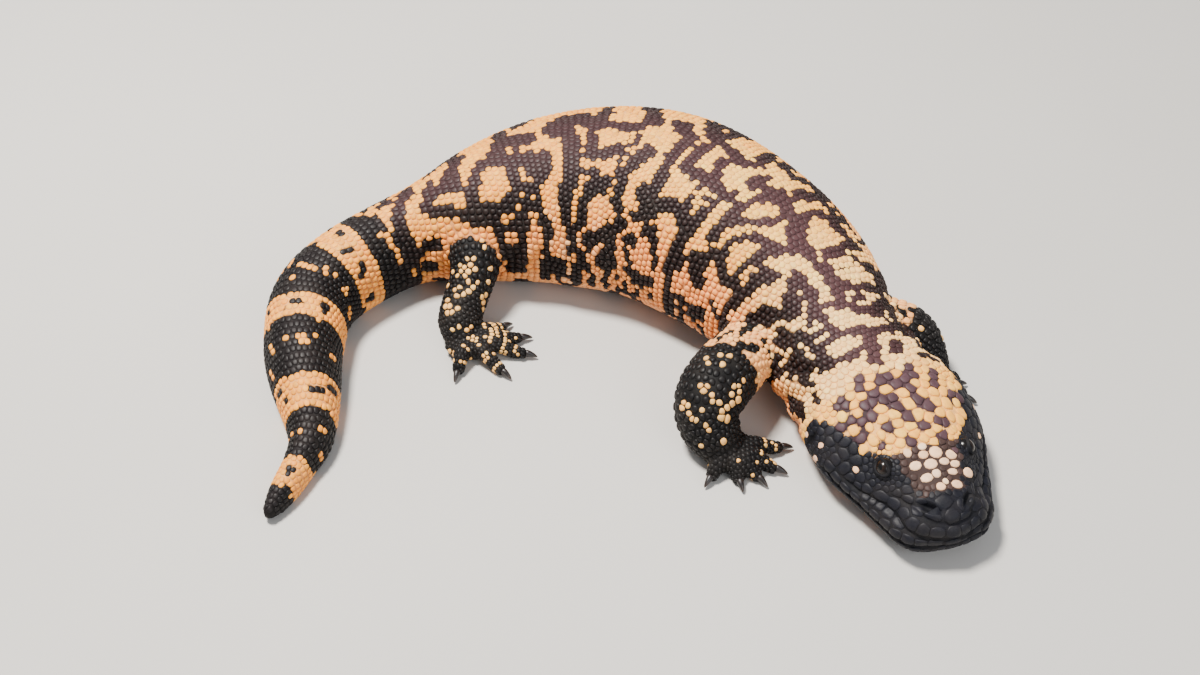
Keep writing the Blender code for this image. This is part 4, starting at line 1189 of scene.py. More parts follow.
def head_seeds(surface):
    """Fixed plates along the lips and granules round the eyes, and uneven plates between."""
    front, ahead, right = head_axis()
    fixed, kinds = [], []
    for side in (1, -1):
        for low, high, share, first, gap, last in (
            (MOUTH_LINE, FURROWS[0], 0.5, 3.6, 4.3, 38),
            (FURROWS[0], FURROWS[1], 0.5, 2.2, 4.6, 21),
            (MOUTH_LINE, FURROWS[0], -0.5, 4.6, 4.5, 40),
        ):
            d = first
            while d < last:
                low_z, high_z = from_table(low, d), from_table(high, d)
                z = low_z + share * min(high_z - low_z, 4.6 if share > 0 else 4.0)
                way = np.array([*(right * side + ahead * 0.35 * max(0.0, 1 - d / 14)), 0.0])
                spot = surface.cast((*(front - ahead * (d + 2)), z), way)
                if spot is not None:
                    fixed.append(spot)
                    kinds.append(4.4)
                blunt = np.interp(d, (0, 6, 16), (0.45, 0.7, 1.0))
                d += gap * blunt
        centre, out, fore, up = eye_frame(side)
        for beyond, count, size in ((0.7, 16, 1.25), (2.0, 17, 1.6), (3.7, 17, 2.1)):
            for n in range(count):
                turn = 2 * math.pi * (n + 0.5 * (beyond > 1) * (beyond < 3)) / count
                spot = centre + fore * math.cos(turn) * (LID_HALF[0] + beyond)
                spot = spot + up * math.sin(turn) * (LID_HALF[1] + beyond)
                spot = surface.cast(spot + out * 9, -out)
                if spot is not None:
                    fixed.append(spot)
                    kinds.append(size)
    for z in (7.6, 11.6, 15.8):
        spot = surface.cast((*(front - ahead * 6), z), (*ahead, 0.0))
        fixed.append(spot)
        kinds.append(4.6)
    for place, around, tall, wide in PLACED:
        fixed.append(body_point(place, around, 0.5))
        kinds.append((tall + wide) * 0.95)
    fixed, kinds = np.array(fixed), np.array(kinds)
    fixed, _ = surface.lay(fixed)

    s = chance.uniform(0, 1, TRIES) ** 0.8 * HEAD_END
    angle = chance.uniform(-180, 180, TRIES)
    spots = body_point(s, angle, 0.45)
    here, there = body_point(s, angle + 1), body_point(s + 0.5, angle)
    area = np.linalg.norm(np.cross(here - spots, there - spots), axis=-1)
    area = area * np.maximum(s, 1) ** 0.25 / head_size(s, angle) ** 2
    pick = chance.uniform(0, 1, len(s)) < area / np.quantile(area, 0.97)
    s, angle, spots = s[pick], angle[pick], spots[pick]
    pick = spots[:, 2] > 0.3
    s, angle, spots = s[pick], angle[pick], spots[pick]
    size = head_size(s, angle)
    clear = np.ones(len(s), bool)
    for p, kind in zip(fixed, kinds):
        clear &= np.linalg.norm(spots - p, axis=1) > kind * 0.62
    for side in (1, -1):
        centre, out, fore, up = eye_frame(side)
        away = spots - centre
        ellipse = np.hypot((away @ fore) / (LID_HALF[0] + 4.6), (away @ up) / (LID_HALF[1] + 4.6))
        clear &= ~((ellipse < 1) & (abs(away @ out) < 8))
        for s_at, turned, _, _, _, near, _ in HOLLOWS:
            clear &= np.linalg.norm(spots - spot_frame(s_at, turned, side)[0], axis=1) > near
    s, angle, spots, size = s[clear], angle[clear], spots[clear], size[clear]
    chosen = []
    for n in range(len(spots)):
        if not chosen or np.linalg.norm(spots[chosen] - spots[n], axis=1).min() > size[n] * 0.80:
            chosen.append(n)
    seeds, sizes = spots[chosen], size[chosen]
    for _ in range(5):
        every = np.concatenate([fixed, seeds])
        spread = np.concatenate([kinds, sizes])
        near = (np.linalg.norm(spots[:, None] - every[None], axis=-1) / spread[None]).argmin(1) - len(fixed)
        for axis in range(3):
            total = np.bincount(near[near >= 0], spots[near >= 0, axis], len(seeds))
            count = np.bincount(near[near >= 0], minlength=len(seeds))
            seeds[:, axis] = np.where(count > 0, total / np.maximum(count, 1), seeds[:, axis])
    seeds, _ = surface.lay(seeds)
    return fixed, kinds, seeds, sizes


def round_about(middle, top, side, turns, radius):
    """Points round the middle of a limb or toe."""
    turns = turns[:, None]
    return middle + (top * np.cos(turns) + side * np.sin(turns)) * radius


# Scales of the toes: how far apart round a toe, their breadth, and how far apart the rings are.
TOE_PITCH, TOE_BREADTH, TOE_STEP = 1.9, 1.8, 1.65
SOLE_PITCH = 1.85


def limb_seeds(limb):
    """Rings of places round a limb, and round its toes, and over the hand or foot."""
    run = LINES[limb][1]
    spots = np.array(LIMB_LIGHT[limb], float)
    middle, _, top, side, radius = limb_frame(limb, spots[:, 0])
    found = [round_about(middle, top, side, np.radians(spots[:, 1]), (radius - LIMB_COAT)[:, None])]
    sizes, tints = [spots[:, 2] * 1.8], [np.ones(len(spots))]
    along, n = 2.0, 0
    while along < run[-1] - 2:
        pitch = np.interp(along, (0, run[-1] * 0.7, run[-1]), (2.45, 2.2, 1.8))
        at = np.array([along])
        middle, _, top, side, radius = limb_frame(limb, at)
        count = max(6, round(2 * math.pi * float(radius[0]) / pitch))
        turns = np.radians((np.arange(count) + 0.5 * (n % 2)) / count * 360 + chance.normal(0, 2.4, count))
        ring = round_about(middle, top, side, turns, radius[0] - LIMB_COAT)
        found.append(ring + chance.normal(0, 0.24, ring.shape))
        sizes.append(np.full(count, pitch))
        tints.append(np.full(count, -1.0))
        along += pitch * 0.92
        n += 1
    x, y, long, wide, high = SOLES[limb]
    pitch, row = SOLE_PITCH, 0
    for px in np.arange(-long, long, pitch * 0.87):
        for py in np.arange(-wide, wide, pitch):
            spot = np.array([px, py + pitch * 0.5 * (row % 2)])
            if np.hypot(spot[0] / long, spot[1] / wide) < 0.98:
                bulge = math.sqrt(max(0.0, 1 - (spot[0] / long) ** 2 - (spot[1] / wide) ** 2))
                found.append(np.array([[x + spot[0], y + spot[1], high * (0.42 + 0.55 * bulge)]]))
                sizes.append([pitch])
                tints.append([float(chance.uniform() < FOOT_LIGHT[limb])])
        row += 1
    for toe in range(5):
        line = toe_line(limb, toe)
        run_toe = lengths(line)
        at, n = 0.6, 0
        while at < run_toe[-1] - 0.4:
            share = at / run_toe[-1]
            radius = np.interp(share, np.linspace(0, 1, 5), TOE_RADII)
            middle = np.array([np.interp(at, run_toe, line[:, k]) for k in range(3)])
            ends = [[np.interp(at + d, run_toe, line[:, k]) for k in range(3)] for d in (0.3, -0.3)]
            way = unit(np.array(ends[0]) - np.array(ends[1]))
            side = unit(np.cross(way, (0, 0, 1.0)))
            up = np.cross(side, way)
            count = max(6, round(2 * math.pi * radius / TOE_PITCH))
            turns = 2 * math.pi * (np.arange(count) + 0.5 * (n % 2)) / count
            found.append(round_about(middle, up, side, turns, radius - TOE_COAT))
            sizes.append(np.full(count, TOE_BREADTH))
            banded = (math.sin(at * 1.25 + toe * 1.9) > 0.35) and at < run_toe[-1] - 2.2
            odds = TOE_LIGHT[limb] * (1.0 if banded else 0.06)
            tints.append((chance.uniform(0, 1, count) < odds).astype(float))
            at += TOE_STEP
            n += 1
    return np.concatenate(found), np.concatenate(sizes), np.concatenate(tints)


def all_seeds(surface):
    """Every scale's place, outward direction, breadth, kind and region."""
    fixed, kinds, crown, crown_sizes = head_seeds(surface)

    rows = body_rows()
    body = body_point(rows[:, 0], rows[:, 1], from_table(COAT, rows[:, 0]))
    body_sizes = np.interp(rows[:, 0], *SIDE_PITCH)
    covered = np.zeros(len(body), bool)
    for limb in LIMBS:
        _, _, over = limb_place(limb, body)
        covered |= over < -1.2
        x, y, long, _, high = SOLES[limb]
        covered |= (np.hypot(body[:, 0] - x, body[:, 1] - y) < long * 0.8) & (body[:, 2] < high * 0.8)
    body, body_sizes = body[~covered], body_sizes[~covered]

    tints = np.full(len(fixed), -1.0)
    tints[-len(PLACED):] = 1.0
    groups = [(fixed, kinds, tints, "lip"), (crown, crown_sizes, np.full(len(crown), -1.0), "head")]
    for limb in LIMBS:
        spots, sizes, tints = limb_seeds(limb)
        keep = (spots[:, 2] > 0.5) & (body_place(spots)[2] > 0.99)
        groups.append((spots[keep], sizes[keep], tints[keep], limb))
    groups.append((body, body_sizes, np.full(len(body), -1.0), "body"))
    points, sizes, tints = (np.concatenate([g[k] for g in groups]) for k in (0, 1, 2))
    names = np.concatenate([[g[3]] * len(g[0]) for g in groups])
    laid, outs = surface.lay(points)
    keep = (np.linalg.norm(laid - points, axis=1) < 2.2) | (names == "lip")
    laid, sizes, tints, names = laid[keep], sizes[keep], tints[keep], names[keep]
    keep = thin_out(laid, sizes * TOO_CLOSE, first=len(fixed))
    laid, sizes, tints, names = laid[keep], sizes[keep], tints[keep], names[keep]
    still = (names == "lip") | ((tints > 0) & (sizes > 2.0))
    laid = relax(laid, sizes * CROWDED, still, surface)
    laid, outs = surface.lay(laid)
    return laid, outs, sizes, tints, names


# ---------------------------------------------------------------- scales


NEIGHBOURS = 9
# Stands for no limit, in millimetres.
FAR = 50.0


def outlines(points, outs, sizes, sharp, sides, gap, caps):
    """Reach of each scale in each direction round it, so that neighbours share the skin."""
    tree = point_tree(points)
    near = np.array([[hit[1] for hit in tree.find_n(p, NEIGHBOURS + 1)[1:]] for p in points.tolist()])
    plan = spine_frame(body_place(points)[0])[1]
    along = -np.concatenate([plan, np.zeros((len(plan), 1))], -1)
    along = along - outs * (along * outs).sum(-1, keepdims=True)
    weak = np.linalg.norm(along, axis=1) < 0.3
    along[weak] = (np.array([0.0, 0.0, 1.0]) - outs * outs[:, 2:3])[weak]
    along = unit(along)
    across = np.cross(outs, along)
    away = points[near] - points[:, None]
    share = sizes[:, None] / (sizes[:, None] + sizes[near])
    u, v = (away * along[:, None]).sum(-1), (away * across[:, None]).sum(-1)
    flat = np.hypot(u, v)
    scale = np.linalg.norm(away, axis=-1) / np.maximum(flat, 1e-6)
    facing = (outs[near] * outs[:, None]).sum(-1)
    half = flat * scale * share - gap
    half = np.where(facing > -0.2, np.maximum(half, 0.25), FAR)
    bearing = np.arctan2(v, u)
    turns = np.linspace(0, 2 * math.pi, sides, endpoint=False)
    cosine = np.cos(turns[None, None] - bearing[..., None])
    close = np.where(cosine > 0.05, half[..., None] / np.maximum(cosine, 0.05), FAR)
    tall, wide = caps[:, :1], caps[:, 1:]
    limit = 1 / np.hypot(np.cos(turns) / wide, np.sin(turns) / tall)
    close = np.concatenate([close, limit[:, None]], 1)
    power = sharp[:, None, None]
    reach = (1 / close**power).sum(1) ** (-1 / sharp[:, None])
    return reach, along, across, turns


# Rings of a domed scale from its sunk rim to its crown: share of reach, share of height.
DOME = ((1.0, -0.45), (0.97, 0.25), (0.80, 0.70), (0.45, 0.94))
PLATE = ((1.0, -0.6), (0.98, 0.25), (0.88, 0.66), (0.66, 0.88), (0.34, 0.97))
SMALL = ((1.0, -0.45), (0.93, 0.45), (0.58, 0.90))


def part_lips(verts, points):
    """Keeps the scales of the lips on their own side of the mouth line and of each furrow."""
    seat, along = behind_snout(points), behind_snout(verts)
    for row, stop in zip(LIP_LINES, (43, 34, 19)):
        there = from_table(row, seat)
        near = (seat < stop) & (abs(points[:, 2] - there) < 5)
        line = from_table(row, along)
        up, down = near & (points[:, 2] > there), near & (points[:, 2] <= there)
        verts[up, :, 2] = np.maximum(verts[up, :, 2], line[up] + LIP_GAP)
        verts[down, :, 2] = np.minimum(verts[down, :, 2], line[down] - LIP_GAP)


# The box of the solids, a little inside it, and clear of the floor.
BOX_LOW, BOX_HIGH = np.array(cad_box[0]) / MM + 0.05, np.array(cad_box[1]) / MM - 0.05
BOX_LOW[2] = 0.02


# A scale's half breadth in the map of places that materials are baked in.
UV_REACH = 0.0014


def scale_mesh(name, pick, data, profile, place, surface):
    """One joined mesh of the picked scales. Those of the head follow every bend of the skin."""
    points, outs, reach, along, across, turns, high, colours = data
    points, outs, reach, along, across = points[pick], outs[pick], reach[pick], along[pick], across[pick]
    high, colours, place = high[pick], colours[pick], place[pick]
    many, sides, rings = len(points), len(turns), len(profile)
    per = sides * rings + 1
    verts = np.empty((many, per, 3))
    uv = np.empty((many, per, 2))
    level = np.empty(per)
    spread = np.cos(turns)[None, :, None] * along[:, None] + np.sin(turns)[None, :, None] * across[:, None]
    circle = np.stack([np.cos(turns), np.sin(turns)], -1)
    for r, (share, rise) in enumerate(profile):
        block = slice(r * sides, (r + 1) * sides)
        verts[:, block] = points[:, None] + spread * (reach * share)[..., None]
        uv[:, block] = place[:, None] + circle * UV_REACH * share
        level[block] = rise
    verts[:, -1] = points
    uv[:, -1] = place
    level[-1] = 1.0
    lift = np.broadcast_to(outs[:, None], verts.shape)
    if name == "scales_head":
        part_lips(verts, points)
        spots, ways = surface.lay(verts.reshape(-1, 3))
        verts, lift = spots.reshape(verts.shape), unit(ways.reshape(verts.shape) + lift)
    verts = np.clip(verts + lift * (high[:, None] * level)[..., None], BOX_LOW, BOX_HIGH)

    faces = []
    for r in range(rings - 1):
        for k in range(sides):
            n = (k + 1) % sides
            a, b, c, d = r * sides + k, r * sides + n, (r + 1) * sides + n, (r + 1) * sides + k
            faces += [(a, b, c), (a, c, d)]
    last = (rings - 1) * sides
    for k in range(sides):
        faces.append((last + k, last + (k + 1) % sides, per - 1))
    faces = np.array(faces)
    every = (faces[None] + (np.arange(many) * per)[:, None, None]).reshape(-1, 3)
    mesh = bpy.data.meshes.new(name)
    mesh.vertices.add(many * per)
    mesh.vertices.foreach_set("co", (verts * MM).ravel())
    mesh.loops.add(len(every) * 3)
    mesh.loops.foreach_set("vertex_index", every.ravel())
    mesh.polygons.add(len(every))
    mesh.polygons.foreach_set("loop_start", np.arange(len(every)) * 3)
    mesh.update()
    mesh.validate()
    layer = mesh.uv_layers.new(name="OFBake")
    layer.data.foreach_set("uv", uv.reshape(-1, 2)[every.ravel()].ravel())
    colour_points(mesh, "marking", np.repeat(colours, per, axis=0))
    # The level is also stored for the material, which paints shade low on each scale's sides.
    value_points(mesh, "level", np.tile(level, many))
    mesh.shade_smooth()
    return add_object(name, mesh)


def scale_colours(points, tints, on_head):
    """One colour for each scale, and its place on the body."""
    dark, light, deep, _, s, angle = markings(points)
    dark = np.where(tints < 0, dark, tints < 0.5)
    plain_snout = on_head & (tints < 0) & (s > 12.5) & (s < 29) & (abs(angle) < 38)
    dark = dark | plain_snout
    light[on_head & (tints > 0) & ((s < 30.5) | (abs(angle) > 65))] = SNOUT_LIGHT
    colours = np.where(dark[:, None], deep, light)
    bright = 1 + chance.normal(0, 0.07, len(points))
    colours = colours * np.clip(bright, 0.8, 1.2)[:, None]
    warm = chance.normal(0, 0.05, len(points))[:, None] * (~dark)[:, None]
    return np.clip(colours * (1 + warm * np.array([0.2, -0.6, -1.6])), 0, 1), s, angle


# How sharp the corners of the outlines are, on the head, belly and back, and how much rounder they
# are on the flanks.
HEAD_SHARP, BELLY_SHARP, BACK_SHARP, FLANK_ROUNDER = 13.0, 14.0, 9.0, 2.5
# Half the bare skin between two scales, on the head and back, and how much more on the flanks.
HEAD_GAP, BACK_GAP, FLANK_GAP = 0.05, 0.02, 0.08
# How far a scale may reach, as a share of its breadth: the head's big plates, most scales, the
# light beads of the limbs against these, and the listed plates, round the head and along it.
BIG, BIG_CAP, CAP, BEAD_CAP, PLACED_TALL, PLACED_WIDE = 2.5, 0.95, 0.72, 0.88, 0.70, 1.12
# Heights, as shares of the mean reach.
BACK_RISE, FLANK_RISE, LIMB_RISE, BELLY_RISE, CROWN_RISE = 0.25, 0.48, 0.55, 0.22, 0.36
CHEEK_RISE = ((10, 24), (0.12, 0.20))
LEAST_RISE = 0.12
SCALE_SIDES = 10
# Pieces that the body's scales are in, and the distance from the snout where each ends.
BODY_PIECES = (
    ("neck", 112), ("trunk_1", 146), ("trunk_2", 180), ("trunk_3", 214), ("trunk_4", 250),
    ("hips", 296), ("tail_1", 350), ("tail_2", LENGTH + 1),
)


def make_scales(surface):
    """All scales, in pieces by part of the body."""
    points, outs, sizes, tints, names = all_seeds(surface)
    on_head = np.isin(names, ("lip", "head"))
    colours, s, angle = scale_colours(points, tints, on_head)
    away = abs(angle)
    body = names == "body"
    flank = np.clip((away - 15) / 45, 0, 1)
    sharp = np.where(away > 110, BELLY_SHARP, BACK_SHARP - FLANK_ROUNDER * flank)
    sharp = np.where(on_head, HEAD_SHARP, sharp)
    gap = np.where(on_head, HEAD_GAP, BACK_GAP + FLANK_GAP * flank)[:, None]
    caps = np.stack([sizes, sizes], -1) * np.where(on_head & (sizes > BIG), BIG_CAP, CAP)[:, None]
    pale = np.nonzero(on_head & (tints > 0))[0]
    spot = ~on_head & ~body & (tints > 0)
    caps[spot] *= BEAD_CAP
    caps[pale] = [(PLACED_TALL * tall, PLACED_WIDE * wide) for _, _, tall, wide in PLACED]
    reach, along, across, turns = outlines(points, outs, sizes, sharp, SCALE_SIDES, gap, caps)
    mean = reach.mean(1)
    high = mean * np.where(body, BACK_RISE + FLANK_RISE * flank, LIMB_RISE)
    high = np.where(body & (away > 108), mean * BELLY_RISE, high)
    cheek = mean * np.interp(s, *CHEEK_RISE)
    high = np.where(on_head, np.where(away < from_table(CHEEK_EDGE, s), mean * CROWN_RISE, cheek), high)
    high[pale] = mean[pale] * CROWN_RISE
    high = high * (1 + chance.normal(0, 0.08, len(high)))
    coat = np.where(body | on_head, from_table(COAT, s), LIMB_COAT)
    small = (sizes < 1.9) & ~on_head
    coat = np.where(small, TOE_COAT, coat)
    high = np.clip(high, LEAST_RISE, coat)
    data = (points, outs, reach, along, across, turns, high, colours)
    plans, start = [("scales_head", on_head, PLATE, "head_skin")], 0
    for part, end in BODY_PIECES:
        plans.append((f"scales_{part}", body & (s >= start) & (s < end), DOME, "body_skin"))
        start = end
    plans += [(f"scales_{limb}", names == limb, SMALL, "limb_skin") for limb in LIMBS]
    made = []
    for name, mask, profile, slot in plans:
        if slot == "limb_skin":
            corner, span = points[mask][:, :2].min(0), np.ptp(points[mask][:, :2], axis=0).max()
            local = (points[:, :2] - corner) / span * 0.45 + 0.02
            local[outs[:, 2] < 0] += (0.5, 0.0)
        else:
            low, high_s = s[mask].min(), s[mask].max()
            local = np.stack([(s - low) / (high_s - low + 1e-6) * 0.98 + 0.01, angle / 360 + 0.5], -1)
        obj = scale_mesh(name, mask, data, profile, np.clip(local, 0.005, 0.995), surface)
        made.append((obj, slot))
    return made


# ---------------------------------------------------------------- claws and eyes


CLAW_SIDES, CLAW_RINGS = 14, 14


def make_claws():
    """A finer hooked claw for each toe, with its root set in the toe."""
    made = []
    for limb in LIMBS:
        place = f"{'hand' if limb.startswith('arm') else 'foot'}_{limb.split('_')[1]}"
        for toe, (direction, reach) in enumerate(TOES[limb]):
            x, y = SOLES[limb][:2]
            way = np.array([math.cos(math.radians(direction)), math.sin(math.radians(direction))])
            across = np.array([-way[1], way[0]])
            rings, shares = [], np.linspace(-0.16, 1.0, CLAW_RINGS)
            for share in shares:
                inside = max(share, 0.0)
                radius = float(through(np.linspace(0, 1, 4), CLAW_RADII, inside)) * 0.98
                if share > 0.9:
                    radius *= 1 - 0.6 * (share - 0.9) / 0.1
                plan = np.array([x, y]) + way * (reach + 0.3 + 0.84 * CLAW_LENGTH * share)
                z = TOE_HEIGHTS[-1] + CLAW_LIFT - CLAW_DROP * inside * inside
                turns = np.linspace(0, 2 * math.pi, CLAW_SIDES, endpoint=False)
                pinch = 0.84 + 0.08 * np.sin(turns)
                ring = [
                    (*(plan + across * radius * w * math.cos(t)), max(z + radius * math.sin(t), 0.05))
                    for t, w in zip(turns, pinch)
                ]
                rings.append(np.clip(ring, BOX_LOW, BOX_HIGH))
            obj = from_shape(f"fine_claw_{place}_{toe + 1}", ring_mesh(rings))
            value_points(obj.data, "along", np.repeat(np.clip(shares, 0, 1), CLAW_SIDES))
            obj.data.shade_smooth()
            made.append((obj, f"claw_{place}_{toe + 1}"))
    return made


def make_eyes():
    """Eyeballs with a bulging cornea."""
    made = []
    for name, side in (("right", 1), ("left", -1)):
        centre, out, fore, up = eye_frame(side)
        shape = bmesh.new()
        bmesh.ops.create_uvsphere(shape, u_segments=40, v_segments=28, radius=1.0)
        gaze = []
        for v in shape.verts:
            spread = math.acos(max(-1.0, min(1.0, v.co.z)))
            bulge = 0.16 * math.exp(-((spread / 0.62) ** 4))
            gaze.append(math.degrees(spread))
            spot = out * v.co.z + fore * v.co.x + up * v.co.y
            v.co = Vector(centre + spot * (EYE_RADIUS - 0.12 + bulge)) * MM
        bmesh.ops.recalc_face_normals(shape, faces=shape.faces)
        obj = from_shape(f"eyeball_{name}", shape)
        value_points(obj.data, "gaze", gaze)
        obj.data.shade_smooth()
        made.append((obj, f"eye_{name}"))
    return made


# ---------------------------------------------------------------- materials

# How deep the bumps of a material are, in metres.
BUMP_DEPTH = 0.0002


class Nodes:
    """Shorthand for building a node tree."""

    def __init__(self, tree):
        self.tree = tree

    def add(self, kind, values=None, **settings):
        node = self.tree.nodes.new(kind)
        for key, value in settings.items():
            setattr(node, key, value)
        for key, value in (values or {}).items():
            if isinstance(value, bpy.types.NodeSocket):
                self.link(value, node.inputs[key])
            else:
                node.inputs[key].default_value = value
        return node

    def link(self, output, socket):
        self.tree.links.new(output, socket)

    def times(self, a, b):
        """The product of two colours."""
        mixed = self.add("ShaderNodeMix", {0: 1.0, 6: a, 7: b}, data_type="RGBA", blend_type="MULTIPLY")
        return mixed.outputs[2]

    def attribute(self, name, output="Fac"):
        return self.add("ShaderNodeAttribute", attribute_name=name).outputs[output]

    def clouds(self, scale, detail, roughness=0.5):
        """Noise over the object's own coordinates."""
        where = self.add("ShaderNodeTexCoord").outputs["Object"]
        values = {"Vector": where, "Scale": scale, "Detail": detail, "Roughness": roughness}
        return self.add("ShaderNodeTexNoise", values).outputs[0]

    def bump(self, height, strength, shader):
        node = self.add("ShaderNodeBump", {"Height": height, "Strength": strength, "Distance": BUMP_DEPTH})
        self.link(node.outputs[0], shader.inputs["Normal"])

    def ramp(self, value, stops):
        node = self.tree.nodes.new("ShaderNodeValToRGB")
        self.link(value, node.inputs[0])
        band = node.color_ramp
        while len(band.elements) < len(stops):
            band.elements.new(0.5)
        for element, (place, colour) in zip(band.elements, stops):
            element.position = place
            element.color = (*colour, 1.0)
        return node.outputs[0]


def grey(v):
    """A grey as the colour of a ramp."""
    return (v, v, v)


def new_material(name):
    """A material, its nodes and its shader."""
    made = bpy.data.materials.new(name)
    made.use_nodes = True
    return made, Nodes(made.node_tree), made.node_tree.nodes["Principled BSDF"]


def horn_group():
    """Colour, roughness and bump of a scale or of bare skin, from its marking and its level. The colour is
    darkened as painted shade where the level is low: round the base of each scale and in the skin's hollows.
    """
    tree = bpy.data.node_groups.new("scale_finish", "ShaderNodeTree")
    face = tree.interface
    for name, way, kind in (
        ("Marking", "INPUT", "Color"), ("Level", "INPUT", "Float"), ("Shift", "INPUT", "Float"),
        ("Colour", "OUTPUT", "Color"), ("Roughness", "OUTPUT", "Float"), ("Height", "OUTPUT", "Float"),
    ):
        face.new_socket(name, in_out=way, socket_type="NodeSocket" + kind)
    n = Nodes(tree)
    source, result = n.add("NodeGroupInput"), n.add("NodeGroupOutput")
    fine, soft, dust = n.clouds(2600.0, 3.0, 0.6), n.clouds(620.0, 2.0), n.clouds(90.0, 4.0, 0.65)
    # Painted shade: colour darkened where the level is low, low on each scale's sides and in the nostrils and
    # ears.
    painted_crevice_shade = n.ramp(source.outputs["Level"], ((0.0, grey(0.82)), (0.35, grey(0.95)), (0.9, grey(1.0))))
    mottle = n.ramp(soft, ((0.3, grey(0.86)), (0.7, grey(1.10))))
    speck = n.ramp(fine, ((0.25, grey(0.90)), (0.75, grey(1.06))))
    horn = n.times(n.times(n.times(source.outputs["Marking"], painted_crevice_shade), mottle), speck)
    veil = n.ramp(dust, ((0.45, grey(0.0)), (0.78, grey(0.03))))
    dusty = n.add("ShaderNodeMix", {0: veil, 6: horn, 7: (0.42, 0.33, 0.26, 1.0)}, data_type="RGBA")
    worn = n.ramp(soft, ((0.3, grey(0.46)), (0.7, grey(0.62))))
    rough = n.add("ShaderNodeMath", {0: worn, 1: source.outputs["Shift"]}, operation="ADD")
    n.link(dusty.outputs[2], result.inputs["Colour"])
    n.link(rough.outputs[0], result.inputs["Roughness"])
    n.link(fine, result.inputs["Height"])
    return tree


def finish(name, group, rough_shift, bump, coat):
    """A material for scales or skin, rougher or smoother by a shift."""
    made, n, shader = new_material(name)
    look = n.add("ShaderNodeGroup", node_tree=group)
    n.link(n.attribute("marking", "Color"), look.inputs["Marking"])
    n.link(n.attribute("level"), look.inputs["Level"])
    look.inputs["Shift"].default_value = rough_shift
    n.link(look.outputs["Colour"], shader.inputs["Base Color"])
    n.link(look.outputs["Roughness"], shader.inputs["Roughness"])
    n.bump(look.outputs["Height"], bump, shader)
    shader.inputs["Coat Weight"].default_value = coat
    shader.inputs["Coat Roughness"].default_value = 0.35
    shader.inputs["Specular IOR Level"].default_value = 0.24
    return made


def claw_material():
    """Dark horn, browner towards the tip."""
    made, n, shader = new_material("claw_horn")
    along, streak = n.attribute("along"), n.clouds(1500.0, 3.0)
    base = n.ramp(along, ((0.0, tone(34, 28, 28)), (0.5, tone(24, 20, 20)), (1.0, tone(58, 46, 40))))
    shade = n.ramp(streak, ((0.3, grey(0.72)), (0.7, grey(1.12))))
    n.link(n.times(base, shade), shader.inputs["Base Color"])
    rough = n.ramp(streak, ((0.3, grey(0.30)), (0.7, grey(0.45))))
    n.link(rough, shader.inputs["Roughness"])
    n.bump(streak, 0.3, shader)
    return made


def eye_material():
    """A dark wet eye."""
    made, n, shader = new_material("eye_wet")
    share = n.add("ShaderNodeMath", {0: n.attribute("gaze"), 1: 90.0}, operation="DIVIDE").outputs[0]
    flecks = n.clouds(2200.0, 4.0)
    base = n.ramp(share, (
        (0.0, (0.002, 0.002, 0.002)), (0.19, (0.003, 0.003, 0.003)), (0.22, tone(34, 22, 16)),
        (0.42, tone(20, 13, 10)), (0.50, tone(10, 7, 7)), (1.0, tone(14, 10, 10)),
    ))
    shade = n.ramp(flecks, ((0.3, grey(0.6)), (0.7, grey(1.3))))
    n.link(n.times(base, shade), shader.inputs["Base Color"])
    rough = n.ramp(flecks, ((0.3, grey(0.20)), (0.7, grey(0.28))))
    n.link(rough, shader.inputs["Roughness"])
    shader.inputs["Specular IOR Level"].default_value = 0.3
    shader.inputs["Coat Weight"].default_value = 0.06
    shader.inputs["Coat Roughness"].default_value = 0.1
    return made


# ---------------------------------------------------------------- putting it together

FLESH = [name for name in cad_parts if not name.startswith(("claw_", "eye_"))]

skin = make_skin()
surface = Surface(skin.data)
scales = make_scales(surface)
skin_points = mesh_points(skin.data)
colour_points(skin.data, "marking", skin_colours(skin_points))
# Painted shade in the nostrils and ears: the skin's level drops there, and this darkens the bare skin.
painted_hollow_shade = np.ones(len(skin_points))
for side in (1, -1):
    for s_at, turned, *_, size, _ in HOLLOWS:
        centre = spot_frame(s_at, turned, side)[0]
        painted_hollow_shade *= 1 - 0.85 * np.exp(-(np.linalg.norm(skin_points - centre, axis=1) / size) ** 2)
value_points(skin.data, "level", painted_hollow_shade)

group = horn_group()
scale_look = finish("scale_horn", group, 0.0, 0.25, 0.03)
plate_look = finish("head_plates", group, 0.04, 0.35, 0.03)
skin_look = finish("bare_skin", group, 0.2, 0.5, 0.0)
claw_look, eye_look = claw_material(), eye_material()

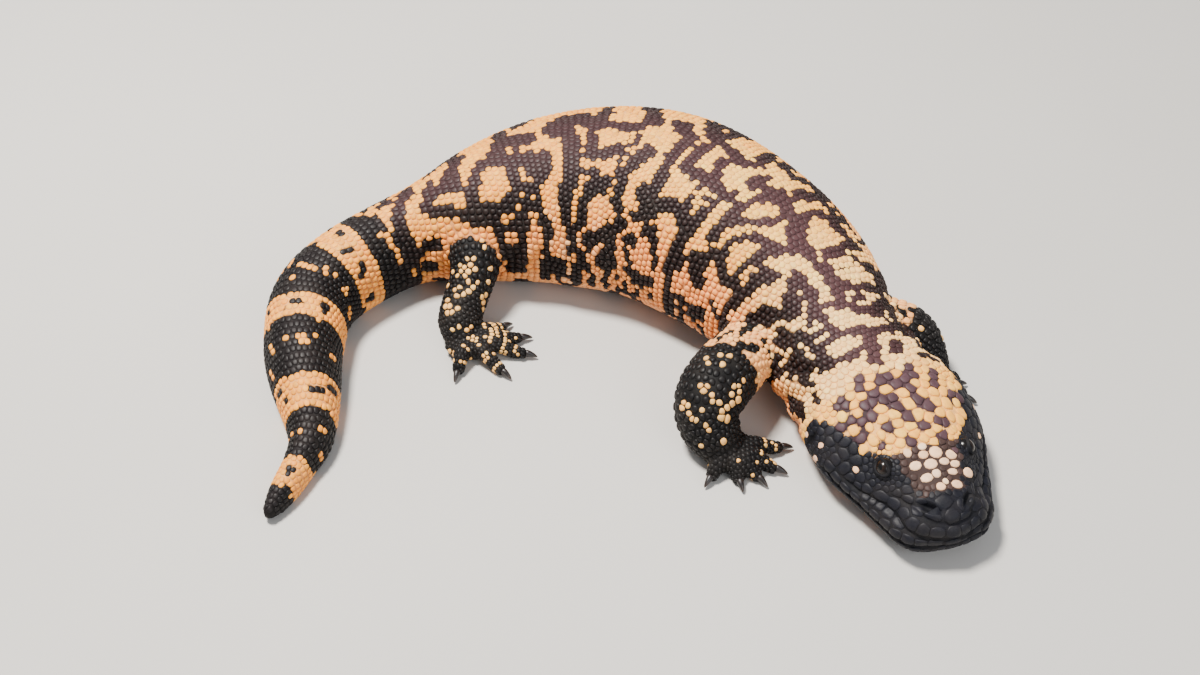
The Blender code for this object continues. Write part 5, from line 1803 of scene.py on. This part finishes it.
skin.data.materials.clear()
skin.data.materials.append(skin_look)
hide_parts(*FLESH)
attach(skin, "root")
for obj, slot in scales:
    obj.data.materials.append(plate_look if obj.name == "scales_head" else scale_look)
    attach(obj, "root")
for obj, node in make_claws():
    obj.data.materials.append(claw_look)
    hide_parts(node)
    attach(obj, "root")
for obj, node in make_eyes():
    obj.data.materials.append(eye_look)
    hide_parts(node)
    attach(obj, "root")

# ---------------------------------------------------------------- studio


def floor():
    """A plain pale floor, which isn't part of the object."""
    shape = bmesh.new()
    bmesh.ops.create_grid(shape, x_segments=1, y_segments=1, size=3.0)
    obj = from_shape("floor", shape)
    made, n, shader = new_material("pale_floor")
    tint = n.ramp(n.clouds(3.0, 3.0), ((0.3, (0.52, 0.50, 0.47)), (0.7, (0.56, 0.54, 0.51))))
    n.link(tint, shader.inputs["Base Color"])
    shader.inputs["Roughness"].default_value = 0.8
    obj.data.materials.append(made)


def aim(obj, place, target):
    """Sets a lamp or camera at a place, looking at another."""
    obj.location = place
    obj.rotation_euler = (Vector(target) - obj.location).to_track_quat("-Z", "Y").to_euler()


def lamp(name, place, target, size, power, colour):
    """A round soft lamp."""
    data = bpy.data.lights.new(name, "AREA")
    data.shape = "DISK"
    data.size, data.energy, data.color = size, power, colour
    aim(add_object(name, data), place, target)


def studio():
    """The floor, soft sky, two lamps, and the camera that the photo was taken with."""
    floor()
    world = bpy.data.worlds.new("studio")
    world.use_nodes = True
    back = world.node_tree.nodes["Background"]
    back.inputs["Color"].default_value = (0.92, 0.95, 1.0, 1.0)
    back.inputs["Strength"].default_value = 0.5
    bpy.context.scene.world = world
    lamp("key", (-0.30, 0.10, 0.95), (0.0, 0.0, 0.02), 0.22, 28.0, (1.0, 0.96, 0.90))
    lamp("fill", (0.55, -0.75, 0.6), (0.0, 0.0, 0.02), 0.7, 5.0, (0.93, 0.96, 1.0))
    camera = bpy.data.cameras.new("camera")
    camera.angle_x = math.radians(45.0)
    camera.clip_start = 0.01
    obj = add_object("camera", camera)
    aim(obj, (-0.0069, -0.4011, 0.3989), (-0.0069, -0.0022, 0.0))
    bpy.context.scene.camera = obj


studio()
